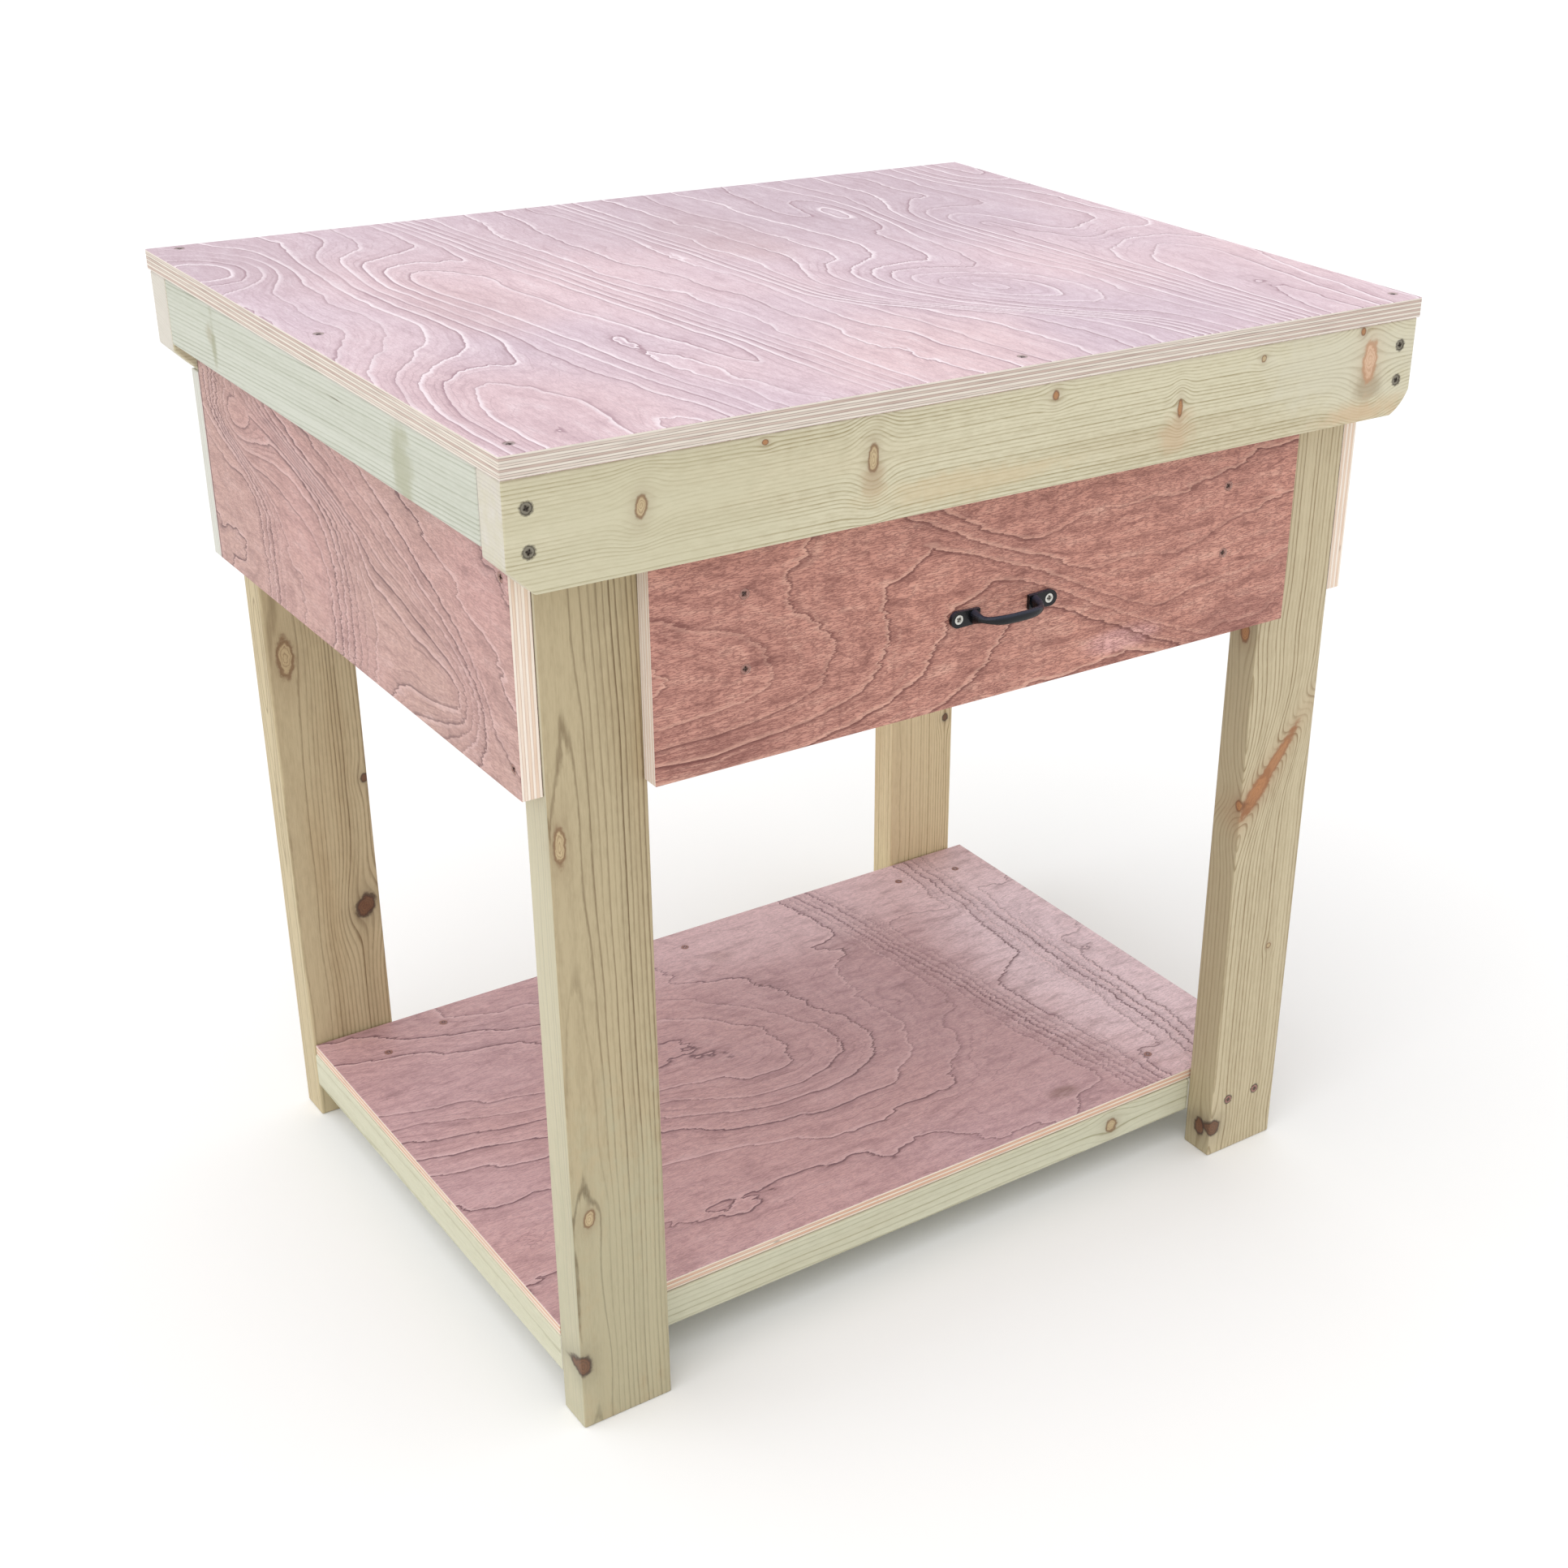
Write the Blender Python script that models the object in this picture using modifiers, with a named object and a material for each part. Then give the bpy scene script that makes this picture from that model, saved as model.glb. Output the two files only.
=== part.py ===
"""Potting bench: a framed worktop with one drawer, panelled sides and back, and a lower shelf.

Metres, +Z up. The bench faces -Y: the drawer's front is on that side and the drawer slides out
along -Y. The origin is on the floor, under the middle of the whole object's outer box.
"""

import math

import bmesh
import bpy
import numpy as np
from mathutils import Matrix, Vector

# ---- Driving dimensions ---------------------------------------------------------------------

GAP = 0.0003  # kept between pieces that touch

TOP_LENGTH = 0.915
TOP_DEPTH = 0.718
TOP_HEIGHT = 0.918
PLY = 0.018

FRAME_LENGTH = 0.913
FRAME_DEPTH = 0.714
TIMBER_THICK = 0.038
TIMBER_WIDE = 0.089
TIMBER_EASED = 0.002  # radius on the long edges of the sawn timber
PLY_EASED = 0.0005
CORNER_CUT = 0.0225  # the sloping cut under each end of the long boards
CORNER_BULGE = 0.45  # of the worn right corner: 0 is a straight cut and 1 a full round
CORNER_STEPS = 8
SIDE_RAIL_TALL = 0.0605

PANEL_BOTTOM = 0.6295
PANEL_SETBACK = 0.003  # side panels start this far behind the front faces of the legs

SHELF_TOP = 0.090
SHELF_PLY = 0.012
SHELF_LEFT = -0.417
SHELF_RIGHT = 0.434
SHELF_CLEAR = 0.0025  # from the shelf's long edges to the inner faces of the legs

DRAWER_CENTRE_X = 0.004
DRAWER_FRONT_WIDTH = 0.673
DRAWER_FRONT_BOTTOM = 0.6235
DRAWER_FRONT_TOP = 0.8085
DRAWER_SIDE_SPACING = 0.506  # between the middles of the two sides
DRAWER_LENGTH = 0.550
DRAWER_SIDE_TALL = 0.128
DRAWER_PLY = 0.012
DRAWER_BASE_PLY = 0.006
DRAWER_BASE_UP = 0.012  # from the sides' lower edges to the underside of the base
GROOVE_DEEP = 0.005
STOP_TOP = 0.832
STOP_BOTTOM = 0.745
STOP_FRONT = 0.340  # from the back of the front board to the stop blocks, with the drawer closed
STOP_SIZE = (0.018, 0.034)

CROSS_RAIL_TOP = 0.676
RUNNER_SIZE = 0.034
GUIDE_SIZE = (0.018, 0.034)
GUIDE_CLEAR = 0.0015

HANDLE_X = 0.0050
HANDLE_Z = 0.704
HANDLE_SCREW_SPACING = 0.096
HANDLE_END = 0.0082  # from a screw to the rounded end of its foot
HANDLE_FOOT_INNER = 0.0262  # from the middle of the handle to the inner end of a foot
HANDLE_FOOT_WIDE = (0.0146, 0.0128)  # at the round end and at the inner end
HANDLE_FOOT_THICK = 0.0035
HANDLE_REACH = 0.027
BOW_SPAN = 0.0325  # from the middle of the handle to the middle of a root
BOW_SQUARE = 2.8  # 2 is half an oval, and more makes the bow's corners squarer
# Along the bow from its middle (0) to a root (1): its height, and its thickness, in metres.
BOW_ALONG = (0.0, 0.30, 0.55, 0.72, 0.86, 1.0)
BOW_TALL = (0.0088, 0.0083, 0.0064, 0.0060, 0.0092, 0.0140)
BOW_THICK = (0.0060, 0.0060, 0.0058, 0.0060, 0.0074, 0.0100)
BOW_STATIONS = 32
BOW_SIDES = 20

SCREW_HEAD_RADIUS = 0.0042
SCREW_SHANK_RADIUS = 0.0021
SCREW_SUNK = 0.0004
HOLE_ABOVE = 0.002  # how far a hole's cutter stands out of the face
ROUND_SIDES = 16

TOP_SCREW_LENGTH = 0.036
TOP_SCREW_FROM_FRONT = 0.021
TOP_SCREW_FROM_BACK = 0.0105
TOP_SCREW_FRONT_X = (0.016, 0.443)
TOP_SCREW_REAR_X = -0.430
SIDE_SCREW_BACK = 0.004
BOARD_SCREW_LENGTH = 0.075
BOARD_SCREW_Z = (0.8765, 0.8440)
PANEL_SCREW_LENGTH = 0.045
PANEL_SCREW_FROM_LEG = 0.0145
PANEL_SCREW_Z = (0.8085, 0.6530)
DRAWER_SCREW_LENGTH = 0.050
DRAWER_SCREW_Z = (0.768, 0.705)
HANDLE_SCREW_LENGTH = 0.016

# ---- Places worked out from the dimensions --------------------------------------------------

FRONT_FACE_BEHIND_FRAME = TIMBER_THICK - PLY
HANDLE_OUTER = FRAME_DEPTH / 2 - FRONT_FACE_BEHIND_FRAME + HANDLE_REACH
CENTRE_Y = (HANDLE_OUTER - TOP_DEPTH / 2) / 2

TIMBER_TOP = TOP_HEIGHT - PLY - GAP
BOARD_BOTTOM = TIMBER_TOP - TIMBER_WIDE
SIDE_RAIL_BOTTOM = TIMBER_TOP - SIDE_RAIL_TALL
FRAME_FRONT = CENTRE_Y - FRAME_DEPTH / 2
FRAME_BACK = CENTRE_Y + FRAME_DEPTH / 2
LEG_FRONT = FRAME_FRONT + TIMBER_THICK + GAP
LEG_BACK = FRAME_BACK - TIMBER_THICK - GAP
LEG_OUTER = FRAME_LENGTH / 2 - TIMBER_THICK - GAP
LEG_INNER = LEG_OUTER - TIMBER_WIDE
BETWEEN_LEGS_FRONT = LEG_FRONT + TIMBER_THICK + GAP
BETWEEN_LEGS_BACK = LEG_BACK - TIMBER_THICK - GAP
PANEL_INNER = LEG_OUTER + GAP
PANEL_OUTER = PANEL_INNER + PLY
SHELF_RAIL_TOP = SHELF_TOP - SHELF_PLY - GAP
SHELF_RAIL_BOTTOM = SHELF_RAIL_TOP - TIMBER_THICK

DRAWER_FACE = FRAME_FRONT + FRONT_FACE_BEHIND_FRAME
DRAWER_BOX_FRONT = DRAWER_FACE + PLY + GAP
DRAWER_BOX_BACK = DRAWER_BOX_FRONT + DRAWER_LENGTH
DRAWER_SIDE_BOTTOM = CROSS_RAIL_TOP + GAP
DRAWER_SIDE_TOP = DRAWER_SIDE_BOTTOM + DRAWER_SIDE_TALL
DRAWER_BASE_BOTTOM = DRAWER_SIDE_BOTTOM + DRAWER_BASE_UP
DRAWER_BASE_TOP = DRAWER_BASE_BOTTOM + DRAWER_BASE_PLY

# ---- Materials ------------------------------------------------------------------------------

COLOURS = {
    "worktop_ply": ((0.62, 0.42, 0.43), 0.75, 0.0),
    "panel_ply": ((0.56, 0.33, 0.33), 0.75, 0.0),
    "drawer_ply": ((0.50, 0.25, 0.21), 0.70, 0.0),
    "shelf_ply": ((0.47, 0.30, 0.32), 0.75, 0.0),
    "box_ply": ((0.66, 0.52, 0.38), 0.70, 0.0),
    "softwood": ((0.62, 0.58, 0.43), 0.70, 0.0),
    "black_metal": ((0.02, 0.02, 0.025), 0.40, 0.6),
    "steel": ((0.55, 0.55, 0.55), 0.35, 1.0),
}


def make_materials():
    """Make one Principled material for each entry in COLOURS."""
    made = {}
    for name, (colour, roughness, metallic) in COLOURS.items():
        item = bpy.data.materials.new(name)
        item.use_nodes = True
        shader = item.node_tree.nodes["Principled BSDF"]
        shader.inputs["Base Color"].default_value = (*colour, 1.0)
        shader.inputs["Roughness"].default_value = roughness
        shader.inputs["Metallic"].default_value = metallic
        made[name] = item
    return made


def new_collection(name):
    """Make a collection in the scene."""
    item = bpy.data.collections.new(name)
    bpy.context.scene.collection.children.link(item)
    return item


def move_to(item, target):
    """Put an object in one collection only."""
    for other in list(item.users_collection):
        other.objects.unlink(item)
    target.objects.link(item)


# ---- Basic shapes ---------------------------------------------------------------------------


def add_box(name, low, high):
    """Add a box between two corners, with its size applied to its mesh."""
    low = Vector(low)
    high = Vector(high)
    bpy.ops.mesh.primitive_cube_add(size=1.0, location=(low + high) / 2)
    item = bpy.context.object
    item.name = name
    size = high - low
    for vertex in item.data.vertices:
        vertex.co = Vector(a * b for a, b in zip(vertex.co, size))
    return item


def ease_edges(item, width, segments):
    """Round an object's edges."""
    bevel = item.modifiers.new("eased_edges", "BEVEL")
    bevel.width = width
    bevel.segments = segments
    bevel.limit_method = "ANGLE"
    bevel.angle_limit = math.radians(30)


def cut(item, cutter):
    """Take one object's shape out of another."""
    boolean = item.modifiers.new("cut_" + cutter.name, "BOOLEAN")
    boolean.operation = "DIFFERENCE"
    boolean.solver = "EXACT"
    boolean.object = cutter


def set_aside(cutter):
    """Keep a cutter or a guide out of the model."""
    cutter.hide_render = True
    cutter.display_type = "WIRE"
    move_to(cutter, cutters)


def finish_piece(item, material_name):
    """Give a piece its material and its collection."""
    item.data.materials.clear()
    item.data.materials.append(materials[material_name])
    move_to(item, bench)
    return item


def timber(name, low, high):
    """Add a length of sawn softwood."""
    item = add_box(name, low, high)
    ease_edges(item, TIMBER_EASED, 2)
    return finish_piece(item, "softwood")


def sheet(name, low, high, material_name):
    """Add a piece of plywood."""
    item = add_box(name, low, high)
    ease_edges(item, PLY_EASED, 1)
    return finish_piece(item, material_name)


def extrude_outline(name, points, thick):
    """Make a mesh from a flat outline in XY, extruded both ways along Z to a thickness."""
    curve = bpy.data.curves.new(name, "CURVE")
    curve.dimensions = "2D"
    curve.fill_mode = "BOTH"
    curve.extrude = thick / 2
    spline = curve.splines.new("POLY")
    spline.points.add(len(points) - 1)
    for target, (x, y) in zip(spline.points, points):
        target.co = (x, y, 0.0, 1.0)
    spline.use_cyclic_u = True
    outline = bpy.data.objects.new(name + "_outline", curve)
    bpy.context.scene.collection.objects.link(outline)
    graph = bpy.context.evaluated_depsgraph_get()
    mesh = bpy.data.meshes.new_from_object(outline.evaluated_get(graph))
    bpy.data.objects.remove(outline)
    faces = bmesh.new()
    faces.from_mesh(mesh)
    bmesh.ops.remove_doubles(faces, verts=faces.verts, dist=1e-6)
    bmesh.ops.recalc_face_normals(faces, faces=faces.faces)
    faces.to_mesh(mesh)
    faces.free()
    item = bpy.data.objects.new(name, mesh)
    bpy.context.scene.collection.objects.link(item)
    return item


def turned(name, profile):
    """Turn a profile of (radius, height) points, listed top to bottom, about Z."""
    mesh = bpy.data.meshes.new(name)
    points = [(radius, 0.0, height) for radius, height in profile]
    edges = [(index, index + 1) for index in range(len(points) - 1)]
    mesh.from_pydata(points, edges, [])
    item = bpy.data.objects.new(name, mesh)
    bpy.context.scene.collection.objects.link(item)
    spin = item.modifiers.new("turn", "SCREW")
    spin.steps = ROUND_SIDES
    spin.render_steps = ROUND_SIDES
    spin.use_merge_vertices = True
    spin.merge_threshold = 0.00001
    return item


def aim(item, place, direction):
    """Put an object's origin at a place and point its -Z along a direction."""
    turn = Vector((0.0, 0.0, -1.0)).rotation_difference(Vector(direction))
    item.rotation_mode = "QUATERNION"
    item.rotation_quaternion = turn
    item.location = place


def wood_screw(name, place, direction, length, pieces):
    """Drive a countersunk screw into pieces, each of which gets its hole."""
    head = SCREW_HEAD_RADIUS
    shank = SCREW_SHANK_RADIUS
    cone = head - shank
    profile = [
        (0.0, -SCREW_SUNK),
        (head, -SCREW_SUNK),
        (shank, -SCREW_SUNK - cone),
        (shank, -length + 2 * shank),
        (0.0, -length),
    ]
    item = turned(name, profile)
    aim(item, place, direction)
    finish_piece(item, "steel")
    hole_profile = [
        (0.0, HOLE_ABOVE),
        (head + GAP, HOLE_ABOVE),
        (head + GAP, -SCREW_SUNK),
        (shank + GAP, -SCREW_SUNK - cone),
        (shank + GAP, -length - GAP),
        (0.0, -length - GAP),
    ]
    hole = turned(name + "_hole", hole_profile)
    aim(hole, place, direction)
    set_aside(hole)
    for piece in pieces:
        cut(piece, hole)
    return item


# ---- Frame ----------------------------------------------------------------------------------


def long_board(name, front_y, bulge=0.0):
    """Add a board along X with its lower corners cut off, the right cut bulging if asked."""
    half = FRAME_LENGTH / 2
    low = BOARD_BOTTOM
    steps = CORNER_STEPS if bulge else 1
    right_corner = []
    for step in range(steps + 1):
        share = step / steps
        angle = math.radians(90) * share
        in_from_side = (1 - share) * (1 - bulge) + (1 - math.sin(angle)) * bulge
        up_from_low = share * (1 - bulge) + (1 - math.cos(angle)) * bulge
        right_corner.append((half - CORNER_CUT * in_from_side, low + CORNER_CUT * up_from_low))
    outline = [
        (-half, TIMBER_TOP),
        (-half, low + CORNER_CUT),
        (-half + CORNER_CUT, low),
        *right_corner,
        (half, TIMBER_TOP),
    ]
    item = extrude_outline(name, outline, TIMBER_THICK)
    item.data.transform(Matrix.Rotation(math.radians(90), 4, "X"))
    item.location = (0.0, front_y + TIMBER_THICK / 2, 0.0)
    ease_edges(item, TIMBER_EASED, 2)
    return finish_piece(item, "softwood")


def make_frame():
    """Make the boards and rails under the worktop, and the four legs."""
    pieces = {}
    pieces["front_board"] = long_board("front_board", FRAME_FRONT, CORNER_BULGE)
    pieces["rear_board"] = long_board("rear_board", FRAME_BACK - TIMBER_THICK)
    for side, sign in (("left", -1), ("right", 1)):
        outer = sign * FRAME_LENGTH / 2
        inner = outer - sign * TIMBER_THICK
        name = side + "_top_rail"
        pieces[name] = timber(
            name,
            (min(inner, outer), LEG_FRONT, SIDE_RAIL_BOTTOM),
            (max(inner, outer), LEG_BACK, TIMBER_TOP),
        )
        ends = (("front", LEG_FRONT), ("rear", LEG_BACK - TIMBER_THICK))
        for end, leg_y in ends:
            name = end + "_" + side + "_leg"
            pieces[name] = timber(
                name,
                (min(sign * LEG_INNER, sign * LEG_OUTER), leg_y, 0.0),
                (max(sign * LEG_INNER, sign * LEG_OUTER), leg_y + TIMBER_THICK, TIMBER_TOP),
            )
    return pieces


def make_panels():
    """Make the side panels, the back panel and the worktop."""
    pieces = {}
    for side, sign in (("left", -1), ("right", 1)):
        name = side + "_panel"
        pieces[name] = sheet(
            name,
            (min(sign * PANEL_INNER, sign * PANEL_OUTER), LEG_FRONT + PANEL_SETBACK, PANEL_BOTTOM),
            (max(sign * PANEL_INNER, sign * PANEL_OUTER), LEG_BACK, SIDE_RAIL_BOTTOM - GAP),
            "panel_ply",
        )
    pieces["back_panel"] = sheet(
        "back_panel",
        (-PANEL_OUTER, LEG_BACK + GAP, PANEL_BOTTOM),
        (PANEL_OUTER, LEG_BACK + GAP + PLY, BOARD_BOTTOM - GAP),
        "panel_ply",
    )
    pieces["worktop"] = sheet(
        "worktop",
        (-TOP_LENGTH / 2, CENTRE_Y - TOP_DEPTH / 2, TOP_HEIGHT - PLY),
        (TOP_LENGTH / 2, CENTRE_Y + TOP_DEPTH / 2, TOP_HEIGHT),
        "worktop_ply",
    )
    return pieces


# ---- Lower shelf ----------------------------------------------------------------------------


def make_shelf():
    """Make the shelf and the five flat timbers that carry it between the legs."""
    for side, sign in (("left", -1), ("right", 1)):
        timber(
            "shelf_" + side + "_rail",
            (min(sign * LEG_INNER, sign * LEG_OUTER), BETWEEN_LEGS_FRONT, SHELF_RAIL_BOTTOM),
            (max(sign * LEG_INNER, sign * LEG_OUTER), BETWEEN_LEGS_BACK, SHELF_RAIL_TOP),
        )
    reach = LEG_INNER - GAP
    timber(
        "shelf_front_rail",
        (-reach, BETWEEN_LEGS_FRONT, SHELF_RAIL_BOTTOM),
        (reach, BETWEEN_LEGS_FRONT + TIMBER_WIDE, SHELF_RAIL_TOP),
    )
    timber(
        "shelf_rear_rail",
        (-reach, BETWEEN_LEGS_BACK - TIMBER_WIDE, SHELF_RAIL_BOTTOM),
        (reach, BETWEEN_LEGS_BACK, SHELF_RAIL_TOP),
    )
    inset = TIMBER_WIDE + GAP
    timber(
        "shelf_middle_rail",
        (-TIMBER_WIDE / 2, BETWEEN_LEGS_FRONT + inset, SHELF_RAIL_BOTTOM),
        (TIMBER_WIDE / 2, BETWEEN_LEGS_BACK - inset, SHELF_RAIL_TOP),
    )
    sheet(
        "shelf",
        (SHELF_LEFT, BETWEEN_LEGS_FRONT + SHELF_CLEAR, SHELF_TOP - SHELF_PLY),
        (SHELF_RIGHT, BETWEEN_LEGS_BACK - SHELF_CLEAR, SHELF_TOP),
        "shelf_ply",
    )


# ---- Drawer and what carries it -------------------------------------------------------------


def side_x(sign):
    """Give the middle of a drawer side."""
    return DRAWER_CENTRE_X + sign * DRAWER_SIDE_SPACING / 2


def make_drawer_support():
    """Make the rails behind the legs, and the runners and guides between them."""
    low = CROSS_RAIL_TOP - TIMBER_THICK
    reach = LEG_OUTER
    timber(
        "front_cross_rail",
        (-reach, BETWEEN_LEGS_FRONT, low),
        (reach, BETWEEN_LEGS_FRONT + TIMBER_THICK, CROSS_RAIL_TOP),
    )
    timber(
        "rear_cross_rail",
        (-reach, BETWEEN_LEGS_BACK - TIMBER_THICK, low),
        (reach, BETWEEN_LEGS_BACK, CROSS_RAIL_TOP),
    )
    inset = TIMBER_THICK + GAP
    for side, sign in (("left", -1), ("right", 1)):
        middle = side_x(sign)
        timber(
            side + "_runner",
            (middle - RUNNER_SIZE / 2, BETWEEN_LEGS_FRONT + inset, CROSS_RAIL_TOP - RUNNER_SIZE),
            (middle + RUNNER_SIZE / 2, BETWEEN_LEGS_BACK - inset, CROSS_RAIL_TOP),
        )
        near = middle + sign * (DRAWER_PLY / 2 + GUIDE_CLEAR)
        far = near + sign * GUIDE_SIZE[0]
        timber(
            side + "_guide",
            (min(near, far), BETWEEN_LEGS_FRONT, CROSS_RAIL_TOP + GAP),
            (max(near, far), BETWEEN_LEGS_BACK, CROSS_RAIL_TOP + GAP + GUIDE_SIZE[1]),
        )


def make_drawer():
    """Make the drawer's front, box and stop blocks."""
    pieces = {}
    pieces["drawer_front"] = sheet(
        "drawer_front",
        (DRAWER_CENTRE_X - DRAWER_FRONT_WIDTH / 2, DRAWER_FACE, DRAWER_FRONT_BOTTOM),
        (DRAWER_CENTRE_X + DRAWER_FRONT_WIDTH / 2, DRAWER_FACE + PLY, DRAWER_FRONT_TOP),
        "drawer_ply",
    )
    groove_x = DRAWER_SIDE_SPACING / 2 - DRAWER_PLY / 2 + GROOVE_DEEP
    base_x = groove_x - GAP
    groove = add_box(
        "groove_cutter",
        (DRAWER_CENTRE_X - groove_x, DRAWER_BOX_FRONT - PLY, DRAWER_BASE_BOTTOM - GAP),
        (DRAWER_CENTRE_X + groove_x, DRAWER_BOX_BACK + PLY, DRAWER_BASE_TOP + GAP),
    )
    set_aside(groove)
    for side, sign in (("left", -1), ("right", 1)):
        middle = side_x(sign)
        name = "drawer_" + side + "_side"
        pieces[name] = sheet(
            name,
            (middle - DRAWER_PLY / 2, DRAWER_BOX_FRONT, DRAWER_SIDE_BOTTOM),
            (middle + DRAWER_PLY / 2, DRAWER_BOX_BACK, DRAWER_SIDE_TOP),
            "box_ply",
        )
        cut(pieces[name], groove)
        near = middle + sign * (DRAWER_PLY / 2 + GAP)
        far = near + sign * STOP_SIZE[0]
        stop_front = LEG_FRONT - GAP + STOP_FRONT
        name = "drawer_" + side + "_stop"
        pieces[name] = timber(
            name,
            (min(near, far), stop_front, STOP_BOTTOM),
            (max(near, far), stop_front + STOP_SIZE[1], STOP_TOP),
        )
    inside = DRAWER_SIDE_SPACING / 2 - DRAWER_PLY / 2 - GAP
    pieces["drawer_back"] = sheet(
        "drawer_back",
        (DRAWER_CENTRE_X - inside, DRAWER_BOX_BACK - DRAWER_PLY, DRAWER_BASE_TOP + GAP),
        (DRAWER_CENTRE_X + inside, DRAWER_BOX_BACK, DRAWER_SIDE_TOP),
        "box_ply",
    )
    pieces["drawer_base"] = sheet(
        "drawer_base",
        (DRAWER_CENTRE_X - base_x, DRAWER_BOX_FRONT, DRAWER_BASE_BOTTOM),
        (DRAWER_CENTRE_X + base_x, DRAWER_BOX_BACK, DRAWER_BASE_TOP),
        "box_ply",
    )
    return pieces


def handle_foot(sign):
    """Make one tongue-shaped foot of the handle, with its round end away from the middle."""
    end_radius = HANDLE_FOOT_WIDE[0] / 2
    screw_x = HANDLE_SCREW_SPACING / 2
    centre = screw_x + HANDLE_END - end_radius
    points = [
        (sign * HANDLE_FOOT_INNER, HANDLE_FOOT_WIDE[1] / 2),
        (sign * HANDLE_FOOT_INNER, -HANDLE_FOOT_WIDE[1] / 2),
    ]
    steps = 12
    for index in range(steps + 1):
        angle = -math.pi / 2 + math.pi * index / steps
        across = sign * (centre + end_radius * math.cos(angle))
        points.append((across, end_radius * math.sin(angle)))
    item = extrude_outline("handle_foot", points, HANDLE_FOOT_THICK)
    item.data.transform(Matrix.Rotation(math.radians(90), 4, "X"))
    item.data.transform(Matrix.Translation((0.0, -HANDLE_FOOT_THICK / 2, 0.0)))
    return item


def handle_bow():
    """Loft the bow, which is wide at its roots, slim at its necks and fuller in the middle."""
    rise = HANDLE_REACH - BOW_THICK[0] / 2
    start = HANDLE_FOOT_THICK / 2
    path = []
    for index in range(BOW_STATIONS + 1):
        angle = math.pi * index / BOW_STATIONS
        across = -abs(math.cos(angle)) ** (2 / BOW_SQUARE) * BOW_SPAN
        if index > BOW_STATIONS / 2:
            across = -across
        out = start + (rise - start) * math.sin(angle) ** (2 / BOW_SQUARE)
        path.append(Vector((across, -out, 0.0)))
    faces = bmesh.new()
    rings = []
    for index, point in enumerate(path):
        before = path[max(index - 1, 0)]
        after = path[min(index + 1, BOW_STATIONS)]
        along = (after - before).normalized()
        normal = along.cross(Vector((0.0, 0.0, 1.0)))
        away = abs(2 * index / BOW_STATIONS - 1)
        half_tall = np.interp(away, BOW_ALONG, BOW_TALL) / 2
        half_thick = np.interp(away, BOW_ALONG, BOW_THICK) / 2
        ring = []
        for side in range(BOW_SIDES):
            angle = 2 * math.pi * side / BOW_SIDES
            up = Vector((0.0, 0.0, half_tall * math.sin(angle)))
            place = point + normal * half_thick * math.cos(angle) + up
            place.y = min(place.y, -GAP)
            ring.append(faces.verts.new(place))
        rings.append(ring)
    for ring, following in zip(rings, rings[1:]):
        for side in range(BOW_SIDES):
            ahead = (side + 1) % BOW_SIDES
            faces.faces.new((ring[side], ring[ahead], following[ahead], following[side]))
    faces.faces.new(rings[0])
    faces.faces.new(rings[-1])
    bmesh.ops.recalc_face_normals(faces, faces=faces.faces)
    mesh = bpy.data.meshes.new("drawer_handle")
    faces.to_mesh(mesh)
    faces.free()
    item = bpy.data.objects.new("drawer_handle", mesh)
    bpy.context.scene.collection.objects.link(item)
    return item


def make_handle():
    """Make the bow handle in one piece with its two feet."""
    place = (HANDLE_X, DRAWER_FACE - GAP, HANDLE_Z)
    item = handle_bow()
    item.location = place
    for sign in (-1, 1):
        foot = handle_foot(sign)
        foot.location = place
        set_aside(foot)
        union = item.modifiers.new("foot", "BOOLEAN")
        union.operation = "UNION"
        union.solver = "EXACT"
        union.object = foot
    return finish_piece(item, "black_metal")


# ---- Screws ---------------------------------------------------------------------------------


def make_top_screws(pieces):
    """Screw the worktop to the boards and the left side rail."""
    front = FRAME_FRONT + TOP_SCREW_FROM_FRONT
    rear = FRAME_BACK - TOP_SCREW_FROM_BACK
    side = FRAME_LENGTH / 2 - TIMBER_THICK / 2
    places = [
        ("top_screw_front_left", -side, front, "front_board"),
        ("top_screw_front_middle", TOP_SCREW_FRONT_X[0], front, "front_board"),
        ("top_screw_front_right", TOP_SCREW_FRONT_X[1], front, "front_board"),
        ("top_screw_rear_left", TOP_SCREW_REAR_X, rear, "rear_board"),
        ("top_screw_left", -side, CENTRE_Y + SIDE_SCREW_BACK, "left_top_rail"),
    ]
    for name, x, y, below in places:
        joined = [pieces["worktop"], pieces[below]]
        wood_screw(name, (x, y, TOP_HEIGHT), (0, 0, -1), TOP_SCREW_LENGTH, joined)


def make_board_screws(pieces):
    """Screw the long boards to the ends of the side rails, two screws an end."""
    for end, face, direction in (("front", FRAME_FRONT, 1), ("rear", FRAME_BACK, -1)):
        for side, sign in (("left", -1), ("right", 1)):
            x = sign * (FRAME_LENGTH / 2 - TIMBER_THICK / 2)
            for level, z in zip(("upper", "lower"), BOARD_SCREW_Z):
                wood_screw(
                    f"{end}_board_screw_{side}_{level}",
                    (x, face, z),
                    (0, direction, 0),
                    BOARD_SCREW_LENGTH,
                    [pieces[end + "_board"], pieces[side + "_top_rail"]],
                )


def make_panel_screws(pieces):
    """Screw the side panels to the front legs, two screws a side."""
    y = LEG_FRONT + PANEL_SCREW_FROM_LEG
    for side, sign in (("left", -1), ("right", 1)):
        for level, z in zip(("upper", "lower"), PANEL_SCREW_Z):
            wood_screw(
                f"{side}_panel_screw_{level}",
                (sign * PANEL_OUTER, y, z),
                (-sign, 0, 0),
                PANEL_SCREW_LENGTH,
                [pieces[side + "_panel"], pieces["front_" + side + "_leg"]],
            )


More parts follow.
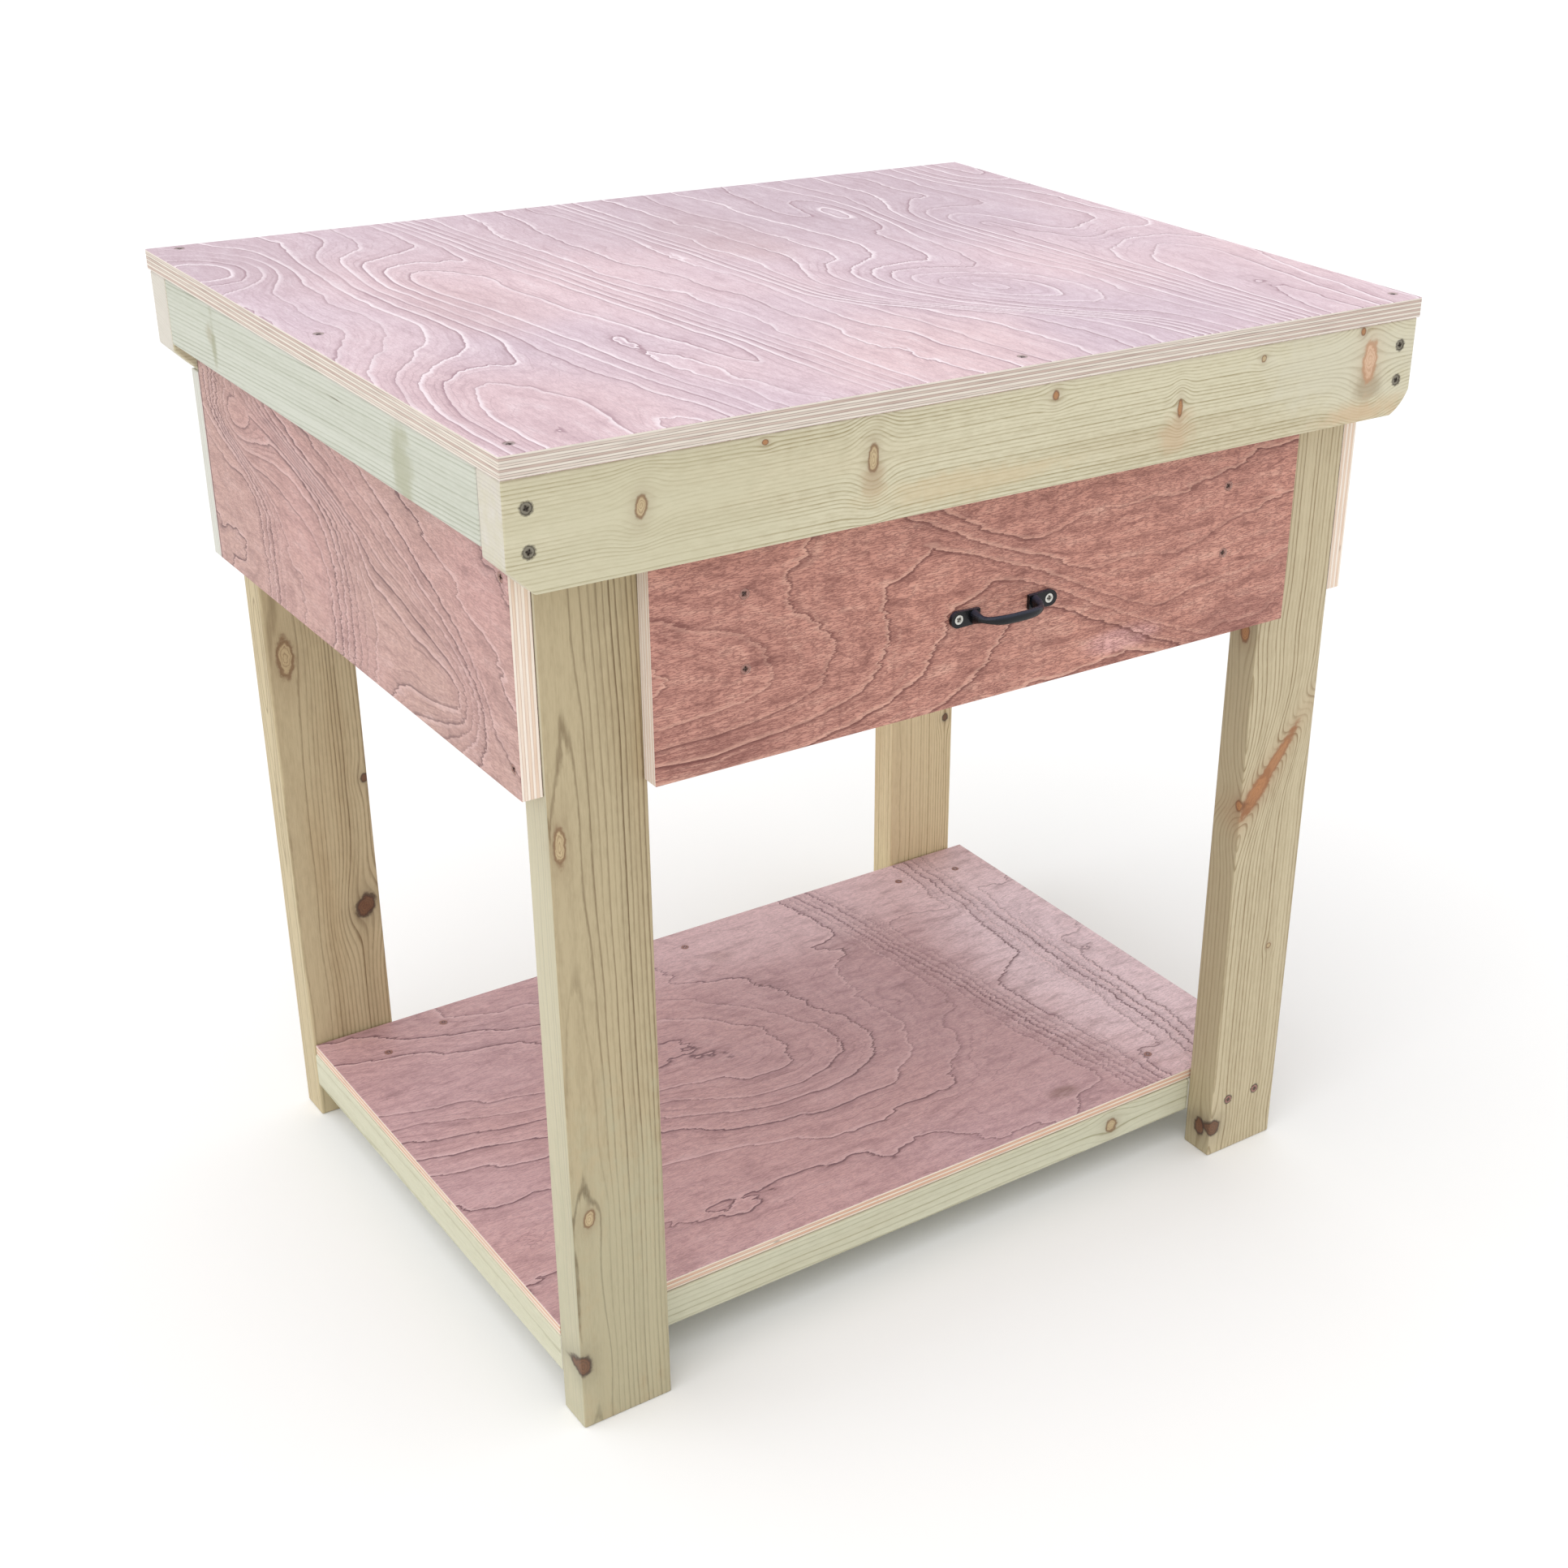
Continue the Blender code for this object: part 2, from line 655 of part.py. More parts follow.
def make_drawer_screws(pieces):
    """Screw the drawer's front to the ends of its sides, and the handle to the front."""
    screws = []
    for side, sign in (("left", -1), ("right", 1)):
        for level, z in zip(("upper", "lower"), DRAWER_SCREW_Z):
            screws.append(
                wood_screw(
                    f"drawer_front_screw_{side}_{level}",
                    (side_x(sign), DRAWER_FACE, z),
                    (0, 1, 0),
                    DRAWER_SCREW_LENGTH,
                    [pieces["drawer_front"], pieces["drawer_" + side + "_side"]],
                )
            )
        screws.append(
            wood_screw(
                f"handle_screw_{side}",
                (
                    HANDLE_X + sign * HANDLE_SCREW_SPACING / 2,
                    DRAWER_FACE - GAP - HANDLE_FOOT_THICK,
                    HANDLE_Z,
                ),
                (0, 1, 0),
                HANDLE_SCREW_LENGTH,
                [pieces["drawer_handle"], pieces["drawer_front"]],
            )
        )
    return screws


def hang_on_slide(items):
    """Parent the drawer's pieces to an empty on the line that the drawer slides along."""
    place = Vector((DRAWER_CENTRE_X, DRAWER_FACE, DRAWER_SIDE_BOTTOM))
    slide = bpy.data.objects.new("drawer_slide_axis", None)
    slide.location = place
    slide.empty_display_size = 0.05
    bench.objects.link(slide)
    for item in items:
        item.parent = slide
        item.matrix_parent_inverse = Matrix.Translation(-place)


# ---- Build ----------------------------------------------------------------------------------


def shade_round_pieces():
    """Shade the screws and the handle smooth, with sharp edges kept."""
    for item in bench.objects:
        if item.type == "MESH" and ("screw" in item.name or item.name == "drawer_handle"):
            item.data.shade_smooth()
            item.data.set_sharp_from_angle(angle=math.radians(40))


def build():
    """Make the whole bench."""
    pieces = make_frame()
    pieces.update(make_panels())
    make_shelf()
    make_drawer_support()
    drawer = make_drawer()
    drawer["drawer_handle"] = make_handle()
    make_top_screws(pieces)
    make_board_screws(pieces)
    make_panel_screws(pieces)
    screws = make_drawer_screws(drawer)
    hang_on_slide(list(drawer.values()) + screws)
    shade_round_pieces()


for old in list(bpy.data.objects):
    bpy.data.objects.remove(old, do_unlink=True)
materials = make_materials()
bench = new_collection("potting_bench")
cutters = new_collection("cutters")
build()
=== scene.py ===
"""The looks of the potting bench: materials, screws, floor, light and camera."""

import math

import bmesh
import bpy
from mathutils import Matrix, Vector


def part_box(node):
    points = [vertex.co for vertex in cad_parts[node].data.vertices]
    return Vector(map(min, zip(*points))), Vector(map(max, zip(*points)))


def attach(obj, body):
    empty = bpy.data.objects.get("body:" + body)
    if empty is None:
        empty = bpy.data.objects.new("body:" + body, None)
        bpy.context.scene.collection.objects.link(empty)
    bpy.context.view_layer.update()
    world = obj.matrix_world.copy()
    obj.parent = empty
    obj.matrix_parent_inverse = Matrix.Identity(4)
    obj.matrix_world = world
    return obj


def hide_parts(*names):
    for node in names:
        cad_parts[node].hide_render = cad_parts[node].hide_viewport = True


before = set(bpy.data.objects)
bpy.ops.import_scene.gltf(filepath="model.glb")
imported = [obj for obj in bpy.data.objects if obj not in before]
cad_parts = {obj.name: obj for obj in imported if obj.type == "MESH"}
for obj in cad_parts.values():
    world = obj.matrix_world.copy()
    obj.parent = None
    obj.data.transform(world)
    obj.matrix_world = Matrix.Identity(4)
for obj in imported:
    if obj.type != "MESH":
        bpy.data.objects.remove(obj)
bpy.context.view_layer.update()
scene = bpy.context.scene

X, Y, Z = 0, 1, 2
MM = 0.001

FIRST_COLOUR, SECOND_COLOUR, MIXED_COLOUR = 6, 7, 2  # a Mix node's sockets when it mixes colours


# ---- Arithmetic in a material's nodes -------------------------------------------------------


class Value:
    """A number that varies over a surface; arithmetic on it adds Math nodes to its material."""

    def __init__(self, tree, socket):
        self.tree = tree
        self.socket = socket

    def math(self, operation, *operands):
        """Add one Math node whose first input is this value."""
        node = self.tree.nodes.new("ShaderNodeMath")
        node.operation = operation
        for index, operand in enumerate((self,) + operands):
            if isinstance(operand, Value):
                self.tree.links.new(operand.socket, node.inputs[index])
            else:
                node.inputs[index].default_value = operand
        return Value(self.tree, node.outputs[0])

    def __add__(self, other):
        return self.math("ADD", other)

    def __radd__(self, other):
        return self.math("ADD", other)

    def __sub__(self, other):
        return self.math("SUBTRACT", other)

    def __rsub__(self, other):
        return (self * -1.0) + other

    def __mul__(self, other):
        return self.math("MULTIPLY", other)

    def __rmul__(self, other):
        return self.math("MULTIPLY", other)

    def __truediv__(self, other):
        return self.math("DIVIDE", other)


def fraction(value):
    """Give the part of a value after its whole number."""
    return value.math("FRACT")


def size_of(value):
    """Give a value without its sign."""
    return value.math("ABSOLUTE")


def length_of(a, b):
    """Give the length of a flat vector from its two parts."""
    return (a * a + b * b).math("SQRT")


def hill(value):
    """Give a smooth bump: 1 where the value is 0, fading out by 2."""
    return (value * value * -1.0).math("EXPONENT")


def rise(value, low, high):
    """Give a smooth step from 0 at low to 1 at high."""
    node = value.tree.nodes.new("ShaderNodeMapRange")
    node.interpolation_type = "SMOOTHSTEP"
    value.tree.links.new(value.socket, node.inputs["Value"])
    node.inputs["From Min"].default_value = low
    node.inputs["From Max"].default_value = high
    return Value(value.tree, node.outputs["Result"])


def fall(value, low, high):
    """Give a smooth step from 1 at low to 0 at high."""
    return 1.0 - rise(value, low, high)


def noise(place, scales, detail=2.0, roughness=0.5, shift=0.0):
    """Give smooth noise from about -1 to 1, with its own scale per metre along each axis."""
    tree = place[0].tree
    join = tree.nodes.new("ShaderNodeCombineXYZ")
    for index, (part, scale) in enumerate(zip(place, scales)):
        tree.links.new((part * scale + shift).socket, join.inputs[index])
    node = tree.nodes.new("ShaderNodeTexNoise")
    tree.links.new(join.outputs[0], node.inputs["Vector"])
    node.inputs["Scale"].default_value = 1.0
    node.inputs["Detail"].default_value = detail
    node.inputs["Roughness"].default_value = roughness
    return Value(tree, node.outputs["Fac"]) * 4.0 - 2.0


def srgb(red, green, blue):
    """Turn a colour in 0 to 255 steps into the linear colour that a shader takes."""

    def linear(step):
        part = step / 255.0
        if part <= 0.04045:
            return part / 12.92
        return ((part + 0.055) / 1.055) ** 2.4

    return (linear(red), linear(green), linear(blue), 1.0)


def blend(amount, first, second, mode="MIX"):
    """Mix two colours, each a colour or another blend, by a value from 0 to 1."""
    node = amount.tree.nodes.new("ShaderNodeMix")
    node.data_type = "RGBA"
    node.blend_type = mode
    node.clamp_factor = True
    amount.tree.links.new(amount.socket, node.inputs[0])
    for index, colour in ((FIRST_COLOUR, first), (SECOND_COLOUR, second)):
        if isinstance(colour, tuple):
            node.inputs[index].default_value = colour
        else:
            amount.tree.links.new(colour, node.inputs[index])
    return node.outputs[MIXED_COLOUR]


class Surface:
    """A new material, with the place and direction of the surface as Values."""

    def __init__(self, name):
        self.material = bpy.data.materials.new(name)
        self.material.use_nodes = True
        self.tree = self.material.node_tree
        self.shader = self.tree.nodes["Principled BSDF"]
        where = self.tree.nodes.new("ShaderNodeTexCoord")
        self.place = self.parts(where.outputs["Object"])
        self.normal = self.parts(where.outputs["Normal"])

    def parts(self, socket):
        """Split a vector into three Values."""
        node = self.tree.nodes.new("ShaderNodeSeparateXYZ")
        self.tree.links.new(socket, node.inputs[0])
        return [Value(self.tree, output) for output in node.outputs]

    def finish(self, colour, roughness, height):
        """Link the colour, the roughness and a bump from a height in metres."""
        self.tree.links.new(colour, self.shader.inputs["Base Color"])
        self.tree.links.new(roughness.socket, self.shader.inputs["Roughness"])
        node = self.tree.nodes.new("ShaderNodeBump")
        node.inputs["Strength"].default_value = 1.0
        node.inputs["Distance"].default_value = 1.0
        self.tree.links.new(height.socket, node.inputs["Height"])
        self.tree.links.new(node.outputs[0], self.shader.inputs["Normal"])
        return self.material


def dress(material, *names):
    """Give CAD nodes a material."""
    for name in names:
        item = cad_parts[name]
        for slot in item.material_slots:
            slot.material = material


def screw_places(part, axes):
    """Give where the screws whose names start alike stand, in two axes."""
    places = []
    for name in sorted(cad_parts):
        if name.startswith(part) and "screw" in name:
            low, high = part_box(name)
            places.append(tuple((low[axis] + high[axis]) / 2 for axis in axes))
    return places


TIMBER_RIM = 6.6 * MM  # from a screw's middle to the edge of its dark rim
SHEET_RIM = 5.6 * MM
RIM_FADE = 2.2 * MM  # over which the dark rim round a screw fades out
DENT = 0.5 * MM  # how deep a screw has pulled the wood in


def holes_around(surface, screws, across, reach):
    """Give how near the surface is to a screw's rough dark rim, the painted shade of its
    countersink over torn fibres: 1 at its hole, 0 at its reach.
    """
    first, second = across
    ragged = noise(surface.place, (420, 420, 420), 2.0, 0.6) * (0.9 * MM)
    total = None
    for a, b in screws:
        off = length_of(surface.place[first] - a, surface.place[second] - b) + ragged
        ring = fall(off, reach - RIM_FADE, reach)
        total = ring if total is None else total.math("MAXIMUM", ring)
    return total


# ---- Softwood -------------------------------------------------------------------------------

# The middle and the rim of each kind of knot.
KNOT_COLOURS = {
    "spike": (srgb(176, 122, 78), srgb(150, 100, 62)),
    "pale": (srgb(196, 174, 134), srgb(122, 88, 56)),
    "pink": (srgb(214, 178, 148), srgb(180, 136, 102)),
    "dark": (srgb(112, 70, 44), srgb(58, 36, 26)),
    "orange": (srgb(176, 122, 74), srgb(120, 76, 44)),
}

RING_END = 0.90  # where a ring's dark late wood ends, as a share of the ring
LATE_SHARE = 0.55  # of the ring that the late wood fades in over
LEAST_SLANT = 0.16  # as narrow as a grazing ring is drawn


def softwood(
    name,
    grain,
    pith,
    pale,
    stripe,
    tilt=(0.0, 0.0),
    spacing=3.2 * MM,
    knots=(),
    blotches=(),
    across=None,
    strength=0.8,
    wander=1.4 * MM,
    ruffle=0.10,
    knot_face=None,
    side_knots=(),
    side_knot_face=None,
    painted_side_light=None,
    screws=(),
    seed=0.0,
):
    """Make sawn softwood whose growth rings circle a pith line that runs nearly along one axis.

    pith and tilt are the line's place and its drift per metre in the two other axes. Each knot is
    (place along the grain, place across it, half length, half width, lean, colour name), and the
    rings part around it. Each blotch is (along, across, half length, half width, colour, amount).
    painted_side_light is (axis, colour, amount): the faces square to that axis are stained. across
    is the axis that a knot's place across the grain is on. knot_face is (axis, place): the knots
    fray and
    painted_side_light is (axis, colour, amount): the faces square to that axis get that colour as
    painted light and shade, for how the light falls on those sides. across is the axis that a
    knot's place across the grain is on. knot_face is (axis, place): the knots fray and taper off
    behind that face. side_knots and side_knot_face are the same for the other faces.
    places in X and Z that get dark rims.
    """
    surface = Surface(name)
    sides = [axis for axis in (X, Y, Z) if axis != grain]
    along = surface.place[grain]
    u = surface.place[sides[0]]
    v = surface.place[sides[1]]

    def scaled(long_scale, wide_scale):
        scales = [wide_scale, wide_scale, wide_scale]
        scales[grain] = long_scale
        return scales

    drift = noise(surface.place, scaled(2.6, 9.0), 2.0, 0.5, seed)
    ripple = noise(surface.place, scaled(11.0, 70.0), 2.0, 0.5, seed + 3.0)
    ruffles = noise(surface.place, scaled(85.0, 330.0), 2.0, 0.6, seed + 6.0)

    # Each knot pushes the rings aside, and keeps its own rings inside a dark rim.
    knot_layers = []
    if across is not None:
        side = surface.place[across]
        other = sides[0] if across == sides[1] else sides[1]
        shift = {}
        for axis, group, face in ((across, knots, knot_face), (other, side_knots, side_knot_face)):
            if not group:
                continue
            wobble = noise(surface.place, (120, 120, 120), 3.0, 0.6, seed) * 0.22
            if face:
                wobble = wobble + size_of(surface.place[face[0]] - face[1]) * 38.0
            for at, beside, half_long, half_wide, lean, kind in group:
                off_long = (along - at) / half_long
                beside_here = surface.place[axis] - beside - (along - at) * lean
                off_wide = beside_here / half_wide
                reach = length_of(off_long, off_wide) + wobble
                push = beside_here * hill(length_of(off_long * 0.26, off_wide * 0.36)) * -0.85
                shift[axis] = shift[axis] + push if axis in shift else push
                knot_layers.append((reach, kind))
        if sides[0] in shift:
            u = u + shift[sides[0]]
        if sides[1] in shift:
            v = v + shift[sides[1]]

    off_u = u - pith[0] - along * tilt[0]
    off_v = v - pith[1] - along * tilt[1]
    waves = drift * wander + ripple * (0.32 * MM) + ruffles * (0.14 * MM)
    from_pith = length_of(off_u, off_v)
    rings = (from_pith + waves) / spacing
    phase = fraction(rings)
    # Where the rings graze a face they would smear out, so they are narrowed by how they slope.
    facing = surface.normal[sides[1]] * surface.normal[sides[1]]
    slant = (size_of(off_u) * facing + size_of(off_v) * (1.0 - facing)) / from_pith
    slant = slant.math("MAXIMUM", LEAST_SLANT)
    late = fall((RING_END - phase) / slant, 0.0, LATE_SHARE) * fall(phase, RING_END, 1.0)
    ring_number = rings.math("FLOOR")
    every = noise((ring_number, along, along * 0.0), (0.73, 0.9, 1.0), 1.0, 0.5, seed)
    late = late * (0.25 + rise(every, -0.7, 0.8) * 0.75)
    streaks = noise(surface.place, scaled(1.6, 85.0), 2.0, 0.5, seed + 9.0)

    fibre = noise(surface.place, scaled(34.0, 1000.0), 3.0, 0.65, seed)
    broad = noise(surface.place, scaled(2.0, 16.0), 2.0, 0.5, seed + 7.0)
    ends = rise(size_of(surface.normal[grain]), 0.6, 0.8)

    tone = late * strength + fibre * 0.10 + broad * 0.08 + streaks * 0.14 + ruffles * ruffle + 0.05
    colour = blend(tone, pale, stripe)
    colour = blend(rise(broad, 0.2, 1.4) * 0.3, colour, srgb(226, 200, 168), "MULTIPLY")
    colour = blend(ends * 0.65, colour, srgb(208, 203, 200))
    mottle = noise(surface.place, (75, 75, 75), 3.0, 0.6, seed + 14.0)
    height = late * (0.09 * MM) + fibre * (0.05 * MM) + ruffles * (0.04 * MM)
    # Faces square to one axis get a painted colour for the light and shade that falls on that
    # side.
    if painted_side_light:
        axis, tint, amount = painted_side_light
        colour = blend(rise(size_of(surface.normal[axis]), 0.5, 0.7) * amount, colour, tint)
    for at, beside, half_long, half_wide, tint, amount in blotches:
        off = length_of((along - at) / half_long, (side - beside) / half_wide)
        off = off + ripple * 0.30 + streaks * 0.10 + mottle * 0.30
        colour = blend(fall(off, 0.3, 1.3) * amount, colour, tint)
    for reach, kind in knot_layers:
        inside, rim = KNOT_COLOURS[kind]
        body = fall(reach, 0.80, 1.0)
        edge = hill((reach - 0.95) / 0.2)
        halo = hill(reach / 1.9) * 0.30
        circles = rise(fraction(reach * 3.4), 0.4, 0.95) * 0.55
        colour = blend(halo, colour, rim)
        colour = blend(body * 0.9, colour, blend(circles, inside, rim))
        colour = blend(edge * 0.8, colour, rim)
        height = height - edge * (0.20 * MM)
    rough = 0.62 + fibre * 0.10 - late * 0.08
    if screws:
        # The dark rim round each screw is painted shade of its countersink, over its torn fibres.
        rim = holes_around(surface, screws, (X, Z), TIMBER_RIM)
        colour = blend(rim * 0.9, colour, srgb(70, 62, 50))  # painted countersink shade over torn fibres
        height = height - rim * DENT
    return surface.finish(colour, rough, height)


# ---- Plywood --------------------------------------------------------------------------------


def tongue(along, aside, tip, centre, spread, width, rings, opens=-1, lean=0.0, flare=0.0):
    """Give nested U-shaped contours: rings of them, closed at tip and open towards one end.

    opens is that end, 1 or -1. spread is the distance over which they close, and lean how far
    they lean across the grain for each metre along it. flare is how much wider they get for each
    metre away from their tips.
    """
    middle = aside - centre - (along - tip) * lean
    if flare:
        width = ((along - tip) * (flare * opens) + width).math("MAXIMUM", width * 0.6)
    side = hill(middle / width)
    if opens < 0:
        return side * fall(along, tip - spread, tip + spread) * rings
    return side * rise(along, tip - spread, tip + spread) * rings


def eye(along, aside, at, centre, half_long, half_wide, rings, lean=0.0):
    """Give closed oval contours around one place."""
    off = length_of((along - at) / half_long, (aside - centre - (along - at) * lean) / half_wide)
    return hill(off) * rings


def river(along, aside, at, half_width, rings, lean=0.0, bend=0.0, bend_at=0.0, bend_over=0.04):
    """Give a band of contours that runs across the grain.

    It moves along the grain by bend, over bend_over to each side of bend_at.
    """
    middle = along - at - aside * lean
    if bend:
        middle = middle - rise(aside, bend_at - bend_over, bend_at + bend_over) * bend
    return rise(middle, -half_width, half_width) * rings


FEWEST_LINES = 4.0  # to the metre, so that flat figure doesn't make endless distances
FINE_LINES = 3.0  # to each growth line
WANDER = 0.55  # how many growth lines the figure strays by
SHADE_REACH = 16.0 * MM  # over which the wood darkens towards a line


def plywood(
    name,
    grain,
    across,
    thickness_axis,
    sheet,
    layers,
    field,
    face,
    second,
    dark,
    light,
    edges,
    contrast=0.8,
    paleness=0.45,
    jag=3.0 * MM,
    streak=0.3,
    tints=(),
    screws=(),
    seed=0.0,
):
    """Make plywood with a contour figure on its faces and layers on its edges.

    sheet is the sheet's low and high place through its thickness, and layers how many plies it
    has. field gives the figure from the places along and across the grain, one growth line to each
    of its whole numbers. jag is how far the lines' teeth reach along the grain.

    face and second are the face's two slowly varying colours, dark and light those of its lines
    and streaks. contrast is how dark the lines are, paleness how pale the band behind each line
    is:
    paler wood with a painted highlight on it. streak is how streaky the rest is. Each tint is
    (along, across, half length, half width, colour, amount). edges are the colours of the pale
    plies, the brown plies and the glue.
    """
    surface = Surface(name)
    along = surface.place[grain]
    aside = surface.place[across]
    through = surface.place[thickness_axis]

    def scaled(long_scale, wide_scale):
        scales = [0.0, 0.0, 0.0]
        scales[grain] = long_scale
        scales[across] = wide_scale
        return scales

    # The face: each whole number of the figure is one growth line, with teeth along the grain.
    teeth = noise(surface.place, scaled(30.0, 240.0), 4.0, 0.70, seed + 9.0)
    jagged = along + teeth * jag

    def figure_at(step_along, step_aside):
        here = list(surface.place)
        here[grain] = jagged + step_along
        here[across] = aside + step_aside
        slow = noise(here, scaled(3.4, 7.5), 2.0, 0.5, seed)
        swirl = noise(here, scaled(14.0, 26.0), 3.0, 0.55, seed + 5.0)
        return field(here[grain], here[across]) + slow * WANDER + swirl * (WANDER * 0.32)

    # The slope turns a share of the way between two lines into a distance in metres.
    figure = figure_at(0.0, 0.0)
    slope = length_of(figure_at(MM, 0.0) - figure, figure_at(0.0, MM) - figure) / MM
    slope = slope.math("MAXIMUM", FEWEST_LINES)
    number = figure.math("FLOOR")
    phase = fraction(figure)
    before = (1.0 - phase) / slope
    behind = phase / slope
    own = noise((number, along, aside), (0.77, 4.0, 4.0), 1.0, 0.5, seed + 2.0)
    bold = (0.30 + rise(own, -0.6, 0.6) * 0.70) * fall(slope, 300.0, 700.0)
    fray = noise(surface.place, scaled(10.0, 120.0), 2.0, 0.6, seed + 15.0)
    frayed = before + fray * (0.5 * MM)
    line = fall(frayed, 0.8 * MM, 3.4 * MM) * bold
    shade = fall(before, 0.0, SHADE_REACH) * bold
    gleam = fall(behind, 0.8 * MM, 5.0 * MM) * bold
    finer = (1.0 - fraction(figure * FINE_LINES)) / (slope * FINE_LINES)
    patch = rise(noise(surface.place, scaled(9.0, 15.0), 2.0, 0.5, seed + 3.0), -0.8, 0.6)
    thin = fall(finer, 0.3 * MM, 1.6 * MM) * fall(slope, 60.0, 140.0) * patch
    follow = noise((figure, along, aside), (7.0, 9.0, 9.0), 3.0, 0.65, seed + 16.0)
    fleck = noise(surface.place, scaled(75.0, 520.0), 3.0, 0.65, seed + 4.0)
    crease = fall(size_of(fleck), 0.0, 0.30)
    blur = noise(surface.place, scaled(24.0, 90.0), 3.0, 0.6, seed + 12.0)
    pores = noise(surface.place, scaled(120.0, 1500.0), 2.0, 0.6, seed + 1.0)
    dashes = rise(pores, 0.45, 1.2)
    broad = noise(surface.place, scaled(2.6, 3.6), 2.0, 0.5, seed + 6.0)

    colour = blend(rise(broad, -0.8, 0.8), face, second)
    for at, beside, half_long, half_wide, tint, amount in tints:
        off = length_of((along - at) / half_long, (aside - beside) / half_wide)
        off = off + blur * 0.14 + broad * 0.15
        colour = blend(fall(off, 0.4, 1.3) * amount, colour, tint)
    colour = blend(shade * 0.26 * contrast, colour, dark)
    colour = blend(rise(follow, 0.0, 1.2) * (0.12 + streak * 0.45), colour, dark)
    colour = blend(rise(follow * -1.0, 0.0, 1.2) * (0.10 + streak * 0.40), colour, light)
    colour = blend(rise(blur, -0.2, 1.4) * streak * 0.8, colour, dark)
    colour = blend(rise(blur * -1.0, 0.0, 1.4) * streak * 0.7, colour, light)
    colour = blend(crease * streak * 0.65, colour, dark)
    colour = blend(thin * 0.45 * contrast, colour, dark)
    colour = blend(line * contrast, colour, dark)
    # The pale band behind each line is paler wood with a painted highlight on it.
    colour = blend(gleam * paleness, colour, light)
    colour = blend(dashes * streak * 0.8, colour, dark)
    height = gleam * 0.06 - line * 0.14 - follow * 0.05 + blur * 0.05 - crease * 0.04
    height = (height - dashes * 0.08) * MM

    # The edges: alternate layers of long and end grain between thin glue lines, with voids.
    low, high = sheet
    round_edge = None
    for axis in (X, Y, Z):
        if axis != thickness_axis:
            part = surface.place[axis]
            round_edge = part if round_edge is None else round_edge + part
    sway = noise((round_edge, through), (6.0, 60.0), 2.0, 0.5, seed) * 0.16
    layer = (through - low) * (layers / (high - low)) + sway
    level = layer.math("FLOOR")
    inner = fraction(layer)
    parity = rise(fraction(level * 0.5), 0.2, 0.3)
    per_layer = noise((level, round_edge), (3.7, 2.5), 1.0, 0.5, seed + 5.0)
    glue = rise(size_of(inner - 0.5), 0.36, 0.46) * (0.55 + rise(per_layer, -0.5, 0.5) * 0.45)
    grit = noise((round_edge, through), (260.0, 900.0), 2.0, 0.6, seed)
    draw = noise((round_edge, through), (22.0, 1100.0), 3.0, 0.6, seed + 2.0)
    holes = noise((round_edge, level), (19.0, 5.3), 2.0, 0.5, seed + 8.0)
    void = rise(holes, 0.85, 1.0) * fall(size_of(inner - 0.5), 0.22, 0.42)
    void = void * rise(noise((round_edge, level), (3.0, 7.7), 1.0, 0.5, seed + 3.0), 0.0, 0.25)
    pale_layer, brown_layer, glue_colour = edges
    edge_colour = blend(parity, pale_layer, brown_layer)
    edge_colour = blend(rise(per_layer, -0.2, 0.7) * 0.6, edge_colour, pale_layer)
    edge_colour = blend(rise(draw, 0.0, 1.3) * 0.6, edge_colour, glue_colour)
    edge_colour = blend(glue * (0.62 + draw * 0.3), edge_colour, glue_colour)
    # Each void is a hole between the plies, and its dark colour is painted shade inside it.
    edge_colour = blend(void * 0.85, edge_colour, srgb(66, 50, 42))
    edge_height = (grit * 0.05 + draw * 0.05 - glue * 0.08 - void * 0.6 + parity * 0.06) * MM

    on_edge = fall(size_of(surface.normal[thickness_axis]), 0.35, 0.6)
    colour = blend(on_edge, colour, edge_colour)
    height = height * (1.0 - on_edge) + edge_height * on_edge
    rough = 0.56 + blur * 0.05 - gleam * 0.05 + on_edge * 0.12
    if screws:
        axes = tuple(axis for axis in (X, Y, Z) if axis != thickness_axis)
        rim = holes_around(surface, screws, axes, SHEET_RIM)
        # The dark rim round each screw is painted shade of its countersink, over its torn fibres.
        colour = blend(rim * (1.0 - on_edge) * 0.5, colour, dark)
        height = height - rim * DENT
    return surface.finish(colour, rough, height)


def worktop_field(along, aside):
    """Long lines from back to front, with arches on the left and ovals on the right."""
    figure = aside * 24.0 + along * 2.0
    figure = figure + tongue(along, aside, -0.13, -0.40, 0.16, 0.085, 6.0)
    figure = figure + tongue(along, aside, 0.22, -0.30, 0.11, 0.06, 4.0, lean=-0.15)
    figure = figure - eye(along, aside, 0.25, -0.44, 0.06, 0.05, 4.0)
    figure = figure + river(aside, along, -0.17, 0.04, 5.0, lean=-0.12)
    figure = figure + river(
        aside, along, 0.17, 0.022, 3.0, lean=-0.08, bend=-0.19, bend_at=-0.20, bend_over=0.13
    )
    figure = figure + eye(along, aside, -0.12, 0.125, 0.10, 0.06, 5.0, lean=-0.45)
    figure = figure - eye(along, aside, 0.19, 0.19, 0.08, 0.025, 2.0)
    figure = figure + tongue(along, aside, 0.17, 0.28, 0.09, 0.05, 4.0, lean=-0.1)
    figure = figure + tongue(along, aside, -0.02, 0.385, 0.11, 0.06, 4.0)
    return figure + tongue(along, aside, 0.25, 0.43, 0.06, 0.05, 3.0, opens=1)


def shelf_field(along, aside):
    """Nested tongues that open to the left, and two rivers of lines across the grain."""
    figure = aside * 5.0
    figure = figure + tongue(along, aside, 0.07, -0.02, 0.17, 0.14, 5.0, lean=-0.40)
    figure = figure - river(along, aside, 0.235, 0.038, 6.0, lean=-0.16)
    return figure - river(along, aside, 0.36, 0.036, 4.0, lean=-0.04)


def drawer_field(along, aside):
    """Tongues from the lower left, and lines that sweep across to the right."""
    figure = aside * 19.0 + along * -2.0
    figure = figure + tongue(along, aside, -0.12, 0.672, 0.18, 0.070, 4.0, lean=-0.12)
    return figure + river(along, aside - 0.75, 0.01, 0.05, 2.5, lean=-1.6)


